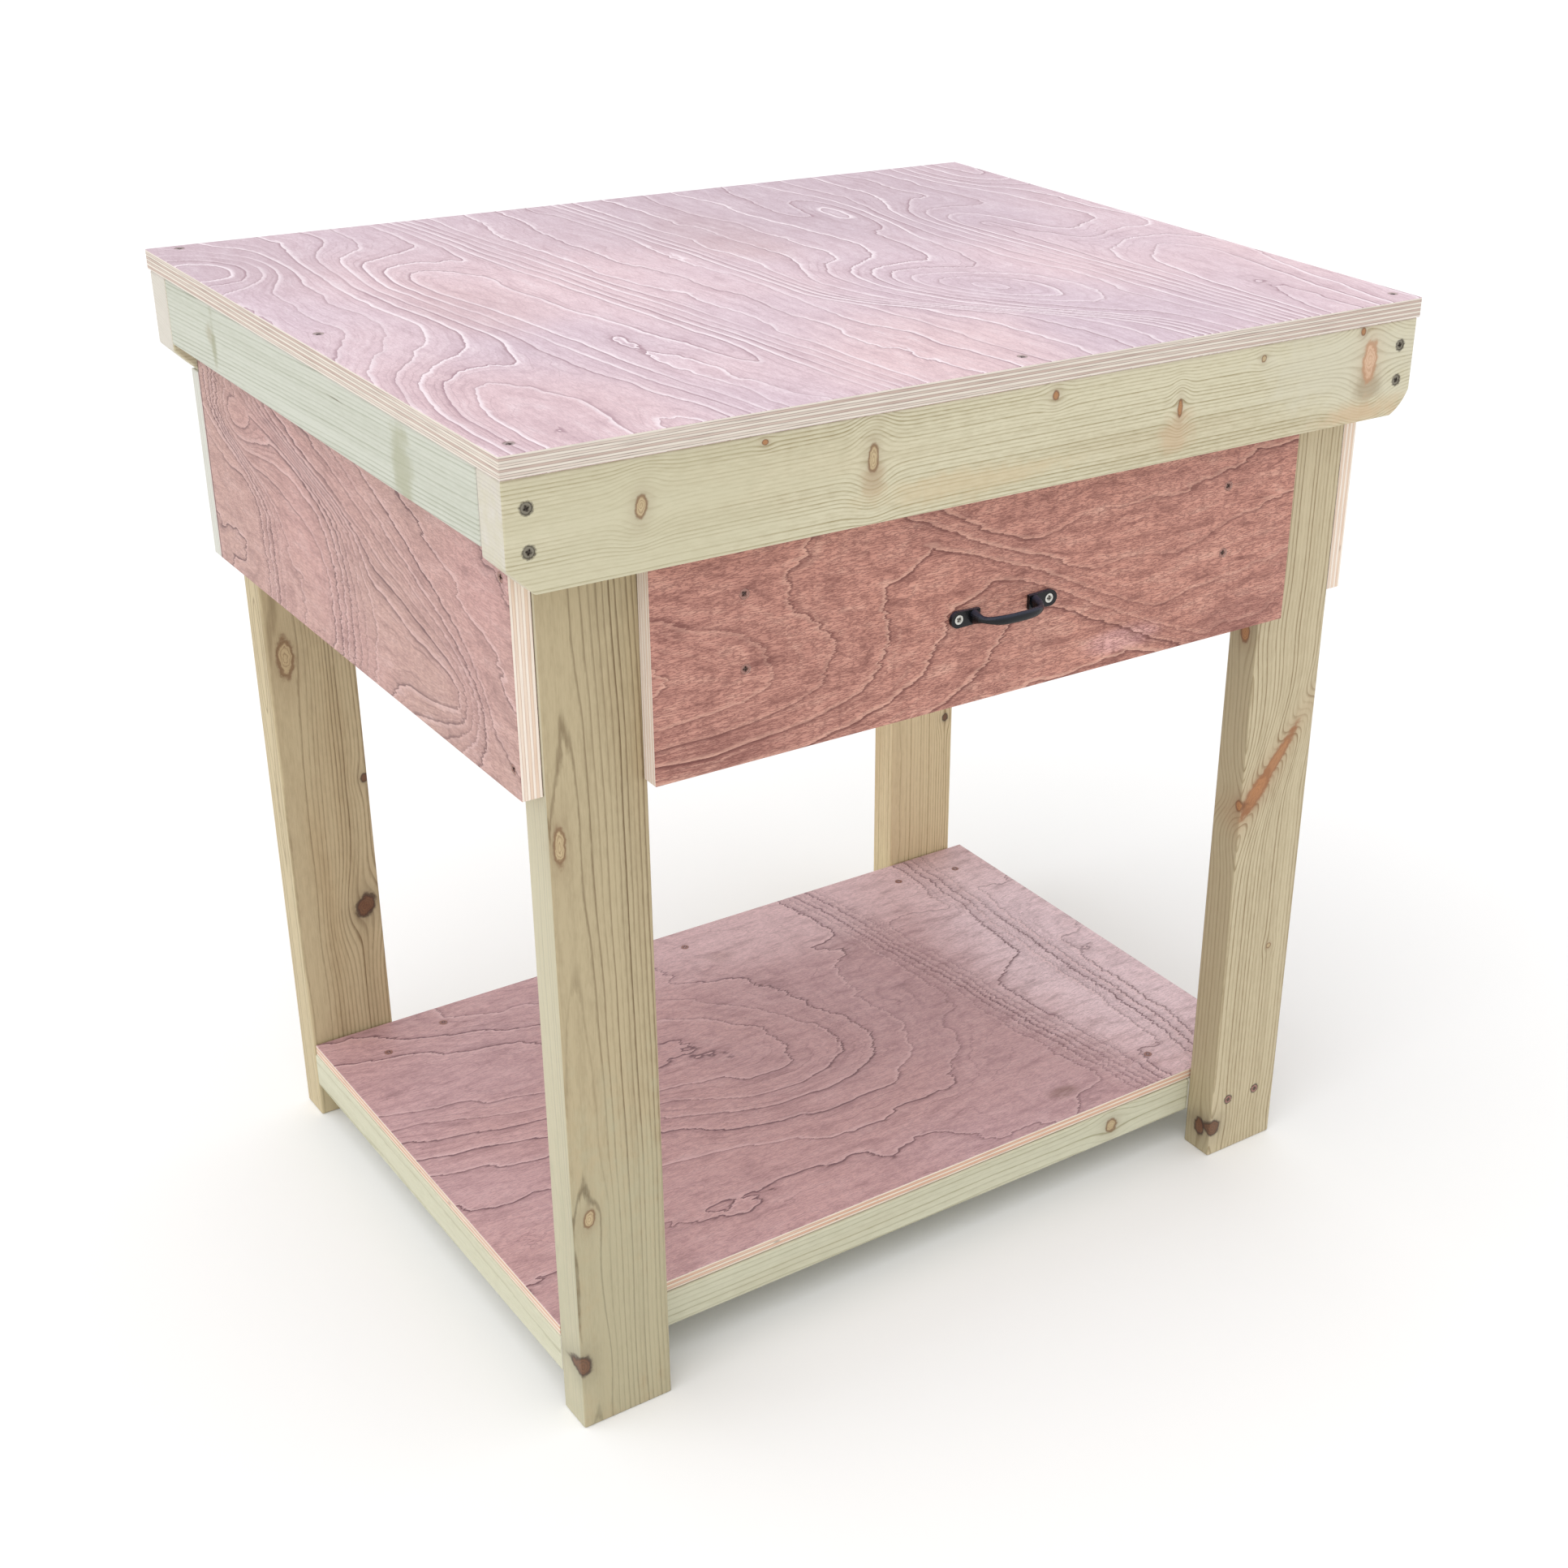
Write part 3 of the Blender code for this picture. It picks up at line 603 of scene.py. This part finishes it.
def side_field(along, aside):
    """A tongue that opens to the back, then bands of lines across the grain."""
    figure = aside * 14.0 - along * 6.0
    nose = tongue(along, aside, -0.24, 0.68, 0.04, 0.03, 5.0, opens=1, lean=0.08, flare=0.32)
    figure = figure - nose
    figure = figure - river(along, aside, 0.0, 0.065, 6.0, bend=0.20, bend_at=0.79)
    figure = figure - river(along, aside, 0.175, 0.035, 4.0, bend=0.10, bend_at=0.75)
    return figure + eye(along, aside, 0.24, 0.79, 0.07, 0.03, 3.0)


def plain_field(along, aside):
    """Gently wandering lines along the grain."""
    return aside * 24.0


# ---- Sheets ---------------------------------------------------------------------------------


def box_of(node):
    """Give a node's low and high corners."""
    low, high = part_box(node)
    return list(low), list(high)


def through_of(node, axis):
    """Give a node's low and high place along one axis."""
    low, high = box_of(node)
    return (low[axis], high[axis])


# Where the small screws stand: across the shelf, and on the front right leg (x and z).
SHELF_SCREWS = [
    (-0.359, 0.225), (-0.286, 0.248), (0.0136, 0.2455), (0.312, 0.241), (0.390, 0.230),
    (0.312, -0.229),
]
LEG_SCREWS = [(0.390, 0.065), (0.352, 0.065)]


def make_sheets():
    """Make and assign the material of each sheet."""
    dress(
        plywood(
            "worktop_ply", Y, X, Z, through_of("worktop", Z), 9, worktop_field,
            srgb(229, 202, 208), srgb(213, 192, 204), srgb(154, 118, 130), srgb(248, 236, 242),
            contrast=0.68, paleness=0.75, streak=0.42, jag=2.5 * MM,
            screws=screw_places("top_", (X, Y)),
            edges=(srgb(226, 217, 204), srgb(196, 174, 162), srgb(92, 66, 58)),
            tints=[
                (0.30, 0.0, 0.16, 0.50, srgb(202, 182, 194), 0.5),
                (-0.30, -0.02, 0.20, 0.12, srgb(232, 200, 200), 0.45),
                (-0.26, -0.40, 0.16, 0.12, srgb(224, 190, 192), 0.5),
                (0.16, 0.03, 0.12, 0.05, srgb(206, 174, 174), 0.5),
                (0.02, -0.30, 0.10, 0.06, srgb(210, 178, 180), 0.5),
                (0.26, 0.20, 0.25, 0.32, srgb(190, 172, 184), 0.5),
                (0.30, -0.42, 0.16, 0.08, srgb(192, 170, 180), 0.5),
            ],
        ),
        "worktop",
    )
    dress(
        plywood(
            "shelf_ply", X, Y, Z, through_of("shelf", Z), 5, shelf_field,
            srgb(209, 167, 167), srgb(205, 167, 171), srgb(112, 76, 84), srgb(232, 198, 200),
            contrast=0.85, streak=0.5, jag=5.0 * MM,
            edges=(srgb(236, 222, 204), srgb(220, 176, 150), srgb(146, 104, 92)),
            tints=[
                (0.035, 0.205, 0.018, 0.014, srgb(158, 112, 104), 0.8),
                (0.19, -0.235, 0.022, 0.012, srgb(140, 104, 96), 0.7),
                (0.29, 0.16, 0.035, 0.05, srgb(176, 124, 124), 0.4),
                (0.38, -0.02, 0.14, 0.32, srgb(250, 224, 231), 0.9),
                (0.20, 0.24, 0.30, 0.10, srgb(238, 207, 211), 0.6),
            ],
            seed=11.0, screws=SHELF_SCREWS,
        ),
        "shelf",
    )
    dress(
        plywood(
            "drawer_ply", X, Z, Y, through_of("drawer_front", Y), 9, drawer_field,
            srgb(205, 145, 127), srgb(197, 141, 126), srgb(106, 54, 48), srgb(228, 180, 160),
            contrast=0.75, streak=1.0, jag=6.0 * MM,
            edges=(srgb(240, 230, 220), srgb(226, 206, 190), srgb(170, 132, 114)),
            tints=[
                (0.143, 0.646, 0.042, 0.012, srgb(222, 170, 166), 0.85),
                (-0.27, 0.635, 0.07, 0.02, srgb(150, 96, 86), 0.5),
                (0.28, 0.64, 0.06, 0.02, srgb(150, 98, 88), 0.45),
            ],
            seed=23.0, screws=screw_places("drawer_front_", (X, Z)),
        ),
        "drawer_front",
    )
    for node, seed in (("left_panel", 31.0), ("right_panel", 47.0)):
        dress(
            plywood(
                node + "_ply", Y, Z, X, through_of(node, X), 7, side_field,
                srgb(200, 155, 149), srgb(196, 160, 148), srgb(106, 72, 72), srgb(224, 190, 186),
                contrast=0.9, streak=0.55, jag=6.0 * MM,
                edges=(srgb(242, 230, 216), srgb(230, 206, 184), srgb(188, 146, 126)), seed=seed,
                # This tint is a thin painted shadow line down each panel near its back end, in the
                # joint.
                tints=[(0.3204, 0.735, 1.8 * MM, 0.30, srgb(74, 56, 52), 0.9)],
                screws=screw_places(node, (Y, Z)),
            ),
            node,
        )
    dress(
        plywood(
            "back_panel_ply", X, Z, Y, through_of("back_panel", Y), 7, plain_field,
            srgb(198, 155, 149), srgb(191, 154, 154), srgb(112, 80, 82), srgb(216, 182, 182),
            edges=(srgb(216, 217, 208), srgb(206, 204, 194), srgb(160, 150, 136)), seed=59.0,
        ),
        "back_panel",
    )
    box_edges = (srgb(232, 220, 200), srgb(212, 182, 156), srgb(150, 110, 90))
    for node, grain, across, thin in (
        ("drawer_left_side", Y, Z, X),
        ("drawer_right_side", Y, Z, X),
        ("drawer_back", X, Z, Y),
        ("drawer_base", X, Y, Z),
    ):
        dress(
            plywood(
                node + "_ply", grain, across, thin, through_of(node, thin), 5, plain_field,
                srgb(210, 182, 164), srgb(204, 180, 168), srgb(146, 108, 90), srgb(228, 208, 194),
                contrast=0.5, edges=box_edges, seed=61.0,
            ),
            node,
        )


# ---- Timber ---------------------------------------------------------------------------------


def make_timber():
    """Make and assign the material of each piece of timber."""
    green = srgb(206, 204, 180)
    green_stripe = srgb(160, 156, 124)
    tan = srgb(208, 192, 152)
    tan_stripe = srgb(146, 122, 80)
    dress(
        softwood(
            "front_board_wood", X, (-0.33, 0.70), srgb(210, 203, 175), srgb(154, 141, 104),
            tilt=(0.0, 0.004), strength=0.9, ruffle=0.18,
            knots=[
                (-0.347, 0.862, 5 * MM, 8 * MM, 0.25, "pale"),
                (-0.143, 0.864, 4.5 * MM, 11 * MM, 0.1, "pale"),
                (-0.241, 0.893, 2.5 * MM, 2 * MM, 0.0, "orange"),
                (0.036, 0.888, 3.5 * MM, 4 * MM, 0.0, "orange"),
                (0.173, 0.857, 2.5 * MM, 7 * MM, 0.0, "orange"),
                (0.267, 0.887, 3 * MM, 3 * MM, 0.0, "pale"),
                (0.400, 0.867, 8.5 * MM, 18 * MM, 0.0, "pink"),
                (0.388, 0.895, 3 * MM, 3.5 * MM, 0.0, "orange"),
            ],
            blotches=[
                (-0.34, 0.85, 0.16, 0.08, srgb(196, 190, 160), 0.55),
                (0.38, 0.87, 0.12, 0.05, srgb(206, 201, 180), 0.55),
                (0.400, 0.845, 0.018, 0.022, srgb(150, 136, 108), 0.6),
                (-0.143, 0.846, 0.012, 0.014, srgb(178, 150, 116), 0.5),
                (0.17, 0.835, 0.02, 0.02, srgb(196, 164, 130), 0.5),
                (0.40, 0.82, 0.06, 0.012, srgb(206, 176, 140), 0.6),
                (-0.05, 0.83, 0.10, 0.014, srgb(200, 176, 136), 0.45),
            ],
            across=Z, screws=screw_places("front_board_", (X, Z)),
        ),
        "front_board",
    )
    dress(
        softwood(
            "rear_board_wood", X, (0.36, 0.76), srgb(210, 203, 174), srgb(166, 154, 116),
            spacing=3.0 * MM, seed=5.0, across=Z,
            screws=screw_places("rear_board_", (X, Z)),
            knots=[
                (-0.21, 0.85, 6 * MM, 9 * MM, 0.2, "dark"),
                (0.19, 0.872, 4 * MM, 6 * MM, 0.0, "pale"),
            ],
        ),
        "rear_board",
    )
    dress(
        softwood(
            "left_rail_wood", Y, (-0.44, 0.72), srgb(198, 200, 187), srgb(150, 154, 132),
            spacing=3.8 * MM, tilt=(0.0, -0.04), seed=8.0, strength=0.7, ruffle=0.08, across=Z,
            blotches=[
                (-0.185, 0.862, 0.020, 0.040, srgb(162, 162, 134), 0.7),
                (0.207, 0.868, 0.006, 0.030, srgb(150, 150, 120), 0.7),
                (0.214, 0.875, 0.010, 0.010, srgb(160, 152, 124), 0.6),
                (-0.063, 0.885, 0.018, 0.0008, srgb(120, 116, 96), 0.9),
            ],
        ),
        "left_top_rail",
    )
    dress(
        softwood("right_rail_wood", Y, (0.44, 0.73), green, green_stripe, seed=13.0),
        "right_top_rail",
    )
    dress(
        softwood(
            "front_left_leg_wood", Z, (-0.404, -0.288), srgb(184, 168, 134), srgb(108, 87, 54),
            tilt=(0.0, 0.015), spacing=4.0 * MM, strength=0.9, wander=2.6 * MM,
            knot_face=(Y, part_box("front_left_leg")[0][Y]),
            knots=[
                (0.225, -0.402, 9 * MM, 5 * MM, 0.1, "pale"),
                (0.585, -0.409, 16 * MM, 5 * MM, 0.0, "pale"),
                (0.07, -0.416, 11 * MM, 8 * MM, 0.0, "dark"),
            ],
            # Its faces square to X get painted light: paler, as the light from the left falls on
            # them.
            across=X, seed=17.0, painted_side_light=(X, srgb(202, 199, 175), 0.6),
            blotches=[(0.10, -0.37, 0.22, 0.10, srgb(176, 174, 146), 0.45)],
        ),
        "front_left_leg",
    )
    dress(
        softwood(
            "front_right_leg_wood", Z, (0.28, -0.37), srgb(198, 184, 152), srgb(132, 110, 74),
            spacing=4.2 * MM, strength=0.8, knot_face=(Y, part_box("front_right_leg")[0][Y]),
            knots=[
                (0.450, 0.364, 40 * MM, 8 * MM, 0.72, "spike"),
                (0.430, 0.348, 20 * MM, 11 * MM, 0.6, "spike"),
                (0.035, 0.333, 9 * MM, 9 * MM, 0.0, "dark"),
                (0.243, 0.389, 3 * MM, 3 * MM, 0.0, "pale"),
                (0.655, 0.343, 8 * MM, 1.2 * MM, 0.0, "dark"),
            ],
            # Its faces square to X get painted shade: darker, as its inner face lies in shade.
            across=X, seed=21.0, painted_side_light=(X, srgb(158, 145, 114), 0.55),
            screws=LEG_SCREWS,
            side_knots=[
                (0.600, -0.300, 10 * MM, 6 * MM, 0.05, "orange"),
                (0.420, -0.313, 6 * MM, 4 * MM, 0.0, "orange"),
                (0.030, -0.300, 10 * MM, 7 * MM, 0.0, "dark"),
            ],
            side_knot_face=(X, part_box("front_right_leg")[0][X]),
            # This blotch is a painted shadow line in the gap between the leg and the right panel.
            blotches=[(0.715, 0.4178, 0.12, 0.0016, srgb(66, 48, 36), 0.9)],
        ),
        "front_right_leg",
    )
    dress(
        softwood(
            "rear_left_leg_wood", Z, (-0.405, 0.30), srgb(198, 182, 146), srgb(124, 102, 68),
            spacing=4.0 * MM, strength=0.75, wander=3.0 * MM,
            knots=[
                (0.237, -0.345, 13 * MM, 10 * MM, 0.2, "dark"),
                (0.383, -0.333, 5 * MM, 4 * MM, 0.0, "dark"),
                (0.53, -0.40, 20 * MM, 8 * MM, 0.0, "pale"),
            ],
            across=X, seed=25.0,
        ),
        "rear_left_leg",
    )
    dress(
        softwood(
            "rear_right_leg_wood", Z, (0.33, 0.24), srgb(224, 206, 166), srgb(160, 134, 90),
            strength=0.75, across=X, seed=29.0,
            knots=[(0.272, 0.407, 5 * MM, 4 * MM, 0.0, "dark")],
        ),
        "rear_right_leg",
    )
    dress(
        softwood(
            "shelf_long_wood", X, (-0.36, 0.01), green, green_stripe, spacing=3.4 * MM, seed=33.0,
            knots=[(0.222, 0.060, 7 * MM, 8 * MM, 0.0, "pale")], across=Z,
        ),
        "shelf_front_rail", "shelf_rear_rail",
    )
    dress(
        softwood("shelf_short_wood", Y, (0.0, 0.01), green, green_stripe, seed=41.0),
        "shelf_left_rail", "shelf_right_rail", "shelf_middle_rail",
    )
    dress(
        softwood("cross_rail_wood", X, (0.0, 0.60), tan, tan_stripe, seed=37.0),
        "front_cross_rail", "rear_cross_rail",
    )
    dress(
        softwood("runner_wood", Y, (0.0, 0.60), tan, tan_stripe, seed=45.0),
        "left_runner", "right_runner", "left_guide", "right_guide",
        "drawer_left_stop", "drawer_right_stop",
    )


# ---- Steel and black metal ------------------------------------------------------------------


def make_metals():
    """Give the handle its black finish, and make the steels of the screws."""
    surface = Surface("black_metal")
    grain = noise(surface.place, (900, 900, 900), 2.0, 0.6)
    wear = noise(surface.place, (60, 60, 60), 3.0, 0.6, 4.0)
    colour = blend(rise(wear, -0.2, 0.9) * 0.5, srgb(8, 8, 12), srgb(18, 19, 27))
    # The faces that look up get a painted pale bluish reflection of the sky.
    upper = rise(surface.normal[Z], 0.15, 0.85)
    colour = blend(upper * 0.55, colour, srgb(66, 70, 90))
    surface.shader.inputs["Metallic"].default_value = 0.0
    surface.shader.inputs["Specular IOR Level"].default_value = 0.32
    black = surface.finish(colour, 0.27 + wear * 0.06, grain * (0.02 * MM))
    dress(black, "drawer_handle")

    steels = {}
    for name, worn, stained, metallic in (
        ("bright_steel", srgb(214, 212, 204), srgb(150, 144, 134), 0.7),
        ("board_steel", srgb(132, 126, 112), srgb(72, 64, 52), 0.6),
        ("rosy_steel", srgb(160, 118, 108), srgb(112, 78, 70), 0.3),
        ("pale_steel", srgb(176, 156, 156), srgb(126, 106, 106), 0.3),
    ):
        surface = Surface(name)
        scratch = noise(surface.place, (700, 700, 700), 3.0, 0.65)
        stain = noise(surface.place, (260, 260, 260), 2.0, 0.6, 2.0)
        colour = blend(rise(stain, 0.0, 0.8), worn, stained)
        # The middle of each head, round the cross recess, is darkened with painted shade.
        middle = fall(length_of(surface.place[X], surface.place[Y]), 1.2 * MM, 3.2 * MM)
        colour = blend(middle * 0.75, colour, srgb(60, 50, 46))
        surface.shader.inputs["Metallic"].default_value = metallic
        rough = 0.45 + scratch * 0.12
        steels[name] = surface.finish(colour, rough, scratch * (0.04 * MM))
    return steels


# ---- Screws ---------------------------------------------------------------------------------

HEAD_RADIUS = 4.2 * MM
HEAD_CROWN = 0.12 * MM
HEAD_EDGE = 0.25 * MM
HEAD_STEPS = 24
ARM_LENGTH = 2.7 * MM  # of the cross recess, from the screw's middle
ARM_WIDTH = 0.62 * MM  # half of an arm's full width
ARM_END_DEPTH = 0.5 * MM
ARM_DEEPENING = 1.1 * MM  # from an arm's end to the screw's middle
THREAD_RADIUS = 2.0 * MM
ROOT_RADIUS = 1.4 * MM
CREST_WIDTH = 0.3  # of the pitch, to each side of the thread's crest
PITCH = 2.0 * MM
ROW = 0.5 * MM  # between the rings of points along the thread
PLAIN_ROWS = 3
PLAIN_CREST = 0.6  # how far the plain rows stand out, as a share of the thread
THREAD_END = 3.0 * MM  # from the point
TAPER = 2.0 * MM
AROUND = 40

SMALL_SCREW = 0.030
PROUD = 0.25 * MM  # how far the small screws stand out of the wood
TURN, SHELF_TURN, LEG_TURN = 0.7, 1.1, 1.3  # how far each screw is turned from the last


def cross_depth(x, y):
    """Give how deep the cross recess is at a place on a screw's head."""
    along = max(abs(x), abs(y))
    beside = min(abs(x), abs(y))
    if along > ARM_LENGTH or beside > ARM_WIDTH:
        return 0.0
    return ARM_END_DEPTH + ARM_DEEPENING * (1.0 - along / ARM_LENGTH)


def screw_mesh(length, steel):
    """Make a countersunk screw along Z: its head's top is at 0, its point is at -length."""
    mesh = bmesh.new()
    rings = []

    def add_ring(place):
        ring = []
        for index in range(AROUND):
            angle = 2 * math.pi * index / AROUND
            radius, height = place(angle)
            point = (radius * math.cos(angle), radius * math.sin(angle), height)
            ring.append(mesh.verts.new(point))
        rings.append(ring)

    for step in range(1, HEAD_STEPS + 1):
        radius = HEAD_RADIUS * step / HEAD_STEPS

        def on_head(angle, radius=radius):
            depth = cross_depth(radius * math.cos(angle), radius * math.sin(angle))
            crown = HEAD_CROWN * (1 - (radius / HEAD_RADIUS) ** 2)
            return radius, crown - depth

        add_ring(on_head)
    neck = -(HEAD_RADIUS - THREAD_RADIUS)
    add_ring(lambda angle: (HEAD_RADIUS, -HEAD_EDGE))
    add_ring(lambda angle: (THREAD_RADIUS * 1.05, neck))
    rows = int((length + neck - THREAD_END) / ROW)
    for row in range(1, rows):
        height = neck - row * ROW

        def on_thread(angle, height=height, row=row):
            turn = (height / PITCH - angle / (2 * math.pi)) % 1.0
            crest = max(0.0, 1.0 - abs(turn - 0.5) / CREST_WIDTH)
            if row <= PLAIN_ROWS:
                crest = PLAIN_CREST
            return ROOT_RADIUS + (THREAD_RADIUS - ROOT_RADIUS) * crest, height

        add_ring(on_thread)
    add_ring(lambda angle: (ROOT_RADIUS * 0.8, -length + TAPER))
    for inner, outer in zip(rings, rings[1:]):
        for index in range(AROUND):
            after = (index + 1) % AROUND
            mesh.faces.new((inner[index], outer[index], outer[after], inner[after]))
    top = mesh.verts.new((0.0, 0.0, -ARM_END_DEPTH - ARM_DEEPENING))
    point = mesh.verts.new((0.0, 0.0, -length))
    for index in range(AROUND):
        after = (index + 1) % AROUND
        mesh.faces.new((top, rings[0][index], rings[0][after]))
        mesh.faces.new((point, rings[-1][after], rings[-1][index]))
    data = bpy.data.meshes.new("screw")
    data.materials.append(steel)
    mesh.to_mesh(data)
    mesh.free()
    return data


def put_screw(name, mesh, place, direction, turn, body):
    """Stand one screw with its head towards a direction, riding on a body."""
    item = bpy.data.objects.new(name, mesh)
    aim = Vector(direction).to_track_quat("Z", "Y").to_matrix().to_4x4()
    item.matrix_world = Matrix.Translation(Vector(place)) @ aim @ Matrix.Rotation(turn, 4, "Z")
    scene.collection.objects.link(item)
    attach(item, body)
    return item


def make_screws(steels):
    """Replace each CAD screw by one with a cross recess and a thread, and add the small ones.

    A screw points along its longest side, with its head away from the middle of the bench.
    """
    meshes = {}
    for count, name in enumerate(sorted(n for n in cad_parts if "screw" in n)):
        low, high = box_of(name)
        sides = [high[axis] - low[axis] for axis in (X, Y, Z)]
        axis = sides.index(max(sides))
        length = round(sides[axis], 4)
        outward = 1.0 if low[axis] + high[axis] > 0.0 else -1.0
        place = [(low[k] + high[k]) / 2 for k in (X, Y, Z)]
        place[axis] = high[axis] if outward > 0 else low[axis]
        direction = [0.0, 0.0, 0.0]
        direction[axis] = outward
        metal = "rosy_steel"
        if name.startswith("handle"):
            metal = "bright_steel"
        elif "board" in name:
            metal = "board_steel"
        elif name.startswith("top"):
            metal = "pale_steel"
        if (length, metal) not in meshes:
            meshes[length, metal] = screw_mesh(length, steels[metal])
        mesh = meshes[length, metal]
        body = "drawer" if name.startswith(("drawer", "handle")) else "bench"
        piece = put_screw(name + "_detail", mesh, place, direction, count * TURN, body)
        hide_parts(name)
    short = screw_mesh(SMALL_SCREW, steels["rosy_steel"])
    shelf_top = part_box("shelf")[1][Z]
    for count, (x, y) in enumerate(SHELF_SCREWS):
        place = (x, y, shelf_top + PROUD)
        put_screw("shelf_screw_%d" % count, short, place, (0, 0, 1), count * SHELF_TURN, "bench")
    leg_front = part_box("front_right_leg")[0][Y]
    for count, (x, z) in enumerate(LEG_SCREWS):
        place = (x, leg_front - PROUD, z)
        put_screw("leg_screw_%d" % count, short, place, (0, -1, 0), count * LEG_TURN, "bench")


# ---- Floor, light and camera ----------------------------------------------------------------

FLOOR_HALF = 60.0
LAMP_FROM = (-0.75, -0.15, 1.0)
CAMERA_PLACE = (-1.0970, -1.7383, 1.3987)


def make_floor():
    """Lay a pale floor much wider than the view."""
    mesh = bpy.data.meshes.new("floor")
    half = FLOOR_HALF
    corners = [(-half, -half, 0.0), (half, -half, 0.0), (half, half, 0.0), (-half, half, 0.0)]
    mesh.from_pydata(corners, [], [(0, 1, 2, 3)])
    floor = bpy.data.objects.new("floor", mesh)
    scene.collection.objects.link(floor)
    material = bpy.data.materials.new("floor")
    material.use_nodes = True
    shader = material.node_tree.nodes["Principled BSDF"]
    shader.inputs["Base Color"].default_value = (0.94, 0.94, 0.94, 1.0)
    shader.inputs["Roughness"].default_value = 0.9
    shader.inputs["Specular IOR Level"].default_value = 0.1
    mesh.materials.append(material)


def make_light():
    """Light the bench with a bright studio all round and a wide soft lamp from the upper left."""
    world = bpy.data.worlds.new("studio")
    scene.world = world
    world.use_nodes = True
    world.node_tree.nodes["Background"].inputs["Color"].default_value = (1.0, 1.0, 1.0, 1.0)
    world.node_tree.nodes["Background"].inputs["Strength"].default_value = 0.94
    lamp = bpy.data.lights.new("soft_lamp", "SUN")
    lamp.energy = 1.0
    lamp.angle = math.radians(70.0)
    item = bpy.data.objects.new("soft_lamp", lamp)
    item.rotation_euler = Vector(LAMP_FROM).to_track_quat("Z", "Y").to_euler()
    scene.collection.objects.link(item)
    scene.view_settings.view_transform = "Standard"


def make_camera():
    """Stand the camera at the front left, a little above the worktop."""
    data = bpy.data.cameras.new("camera")
    data.lens = 51.55
    data.sensor_width = 36.0
    data.shift_x = -0.1214
    data.shift_y = 0.0385
    data.clip_end = 200.0
    camera = bpy.data.objects.new("camera", data)
    heading = math.radians(37.60)
    downward = math.radians(27.31)
    roll = math.radians(2.04)
    turn = (
        Matrix.Rotation(-heading, 4, "Z")
        @ Matrix.Rotation(math.pi / 2 - downward, 4, "X")
        @ Matrix.Rotation(roll, 4, "Z")
    )
    turn.translation = CAMERA_PLACE
    camera.matrix_world = turn
    scene.collection.objects.link(camera)
    scene.camera = camera


make_camera()
make_floor()
make_light()
make_sheets()
make_timber()
make_screws(make_metals())
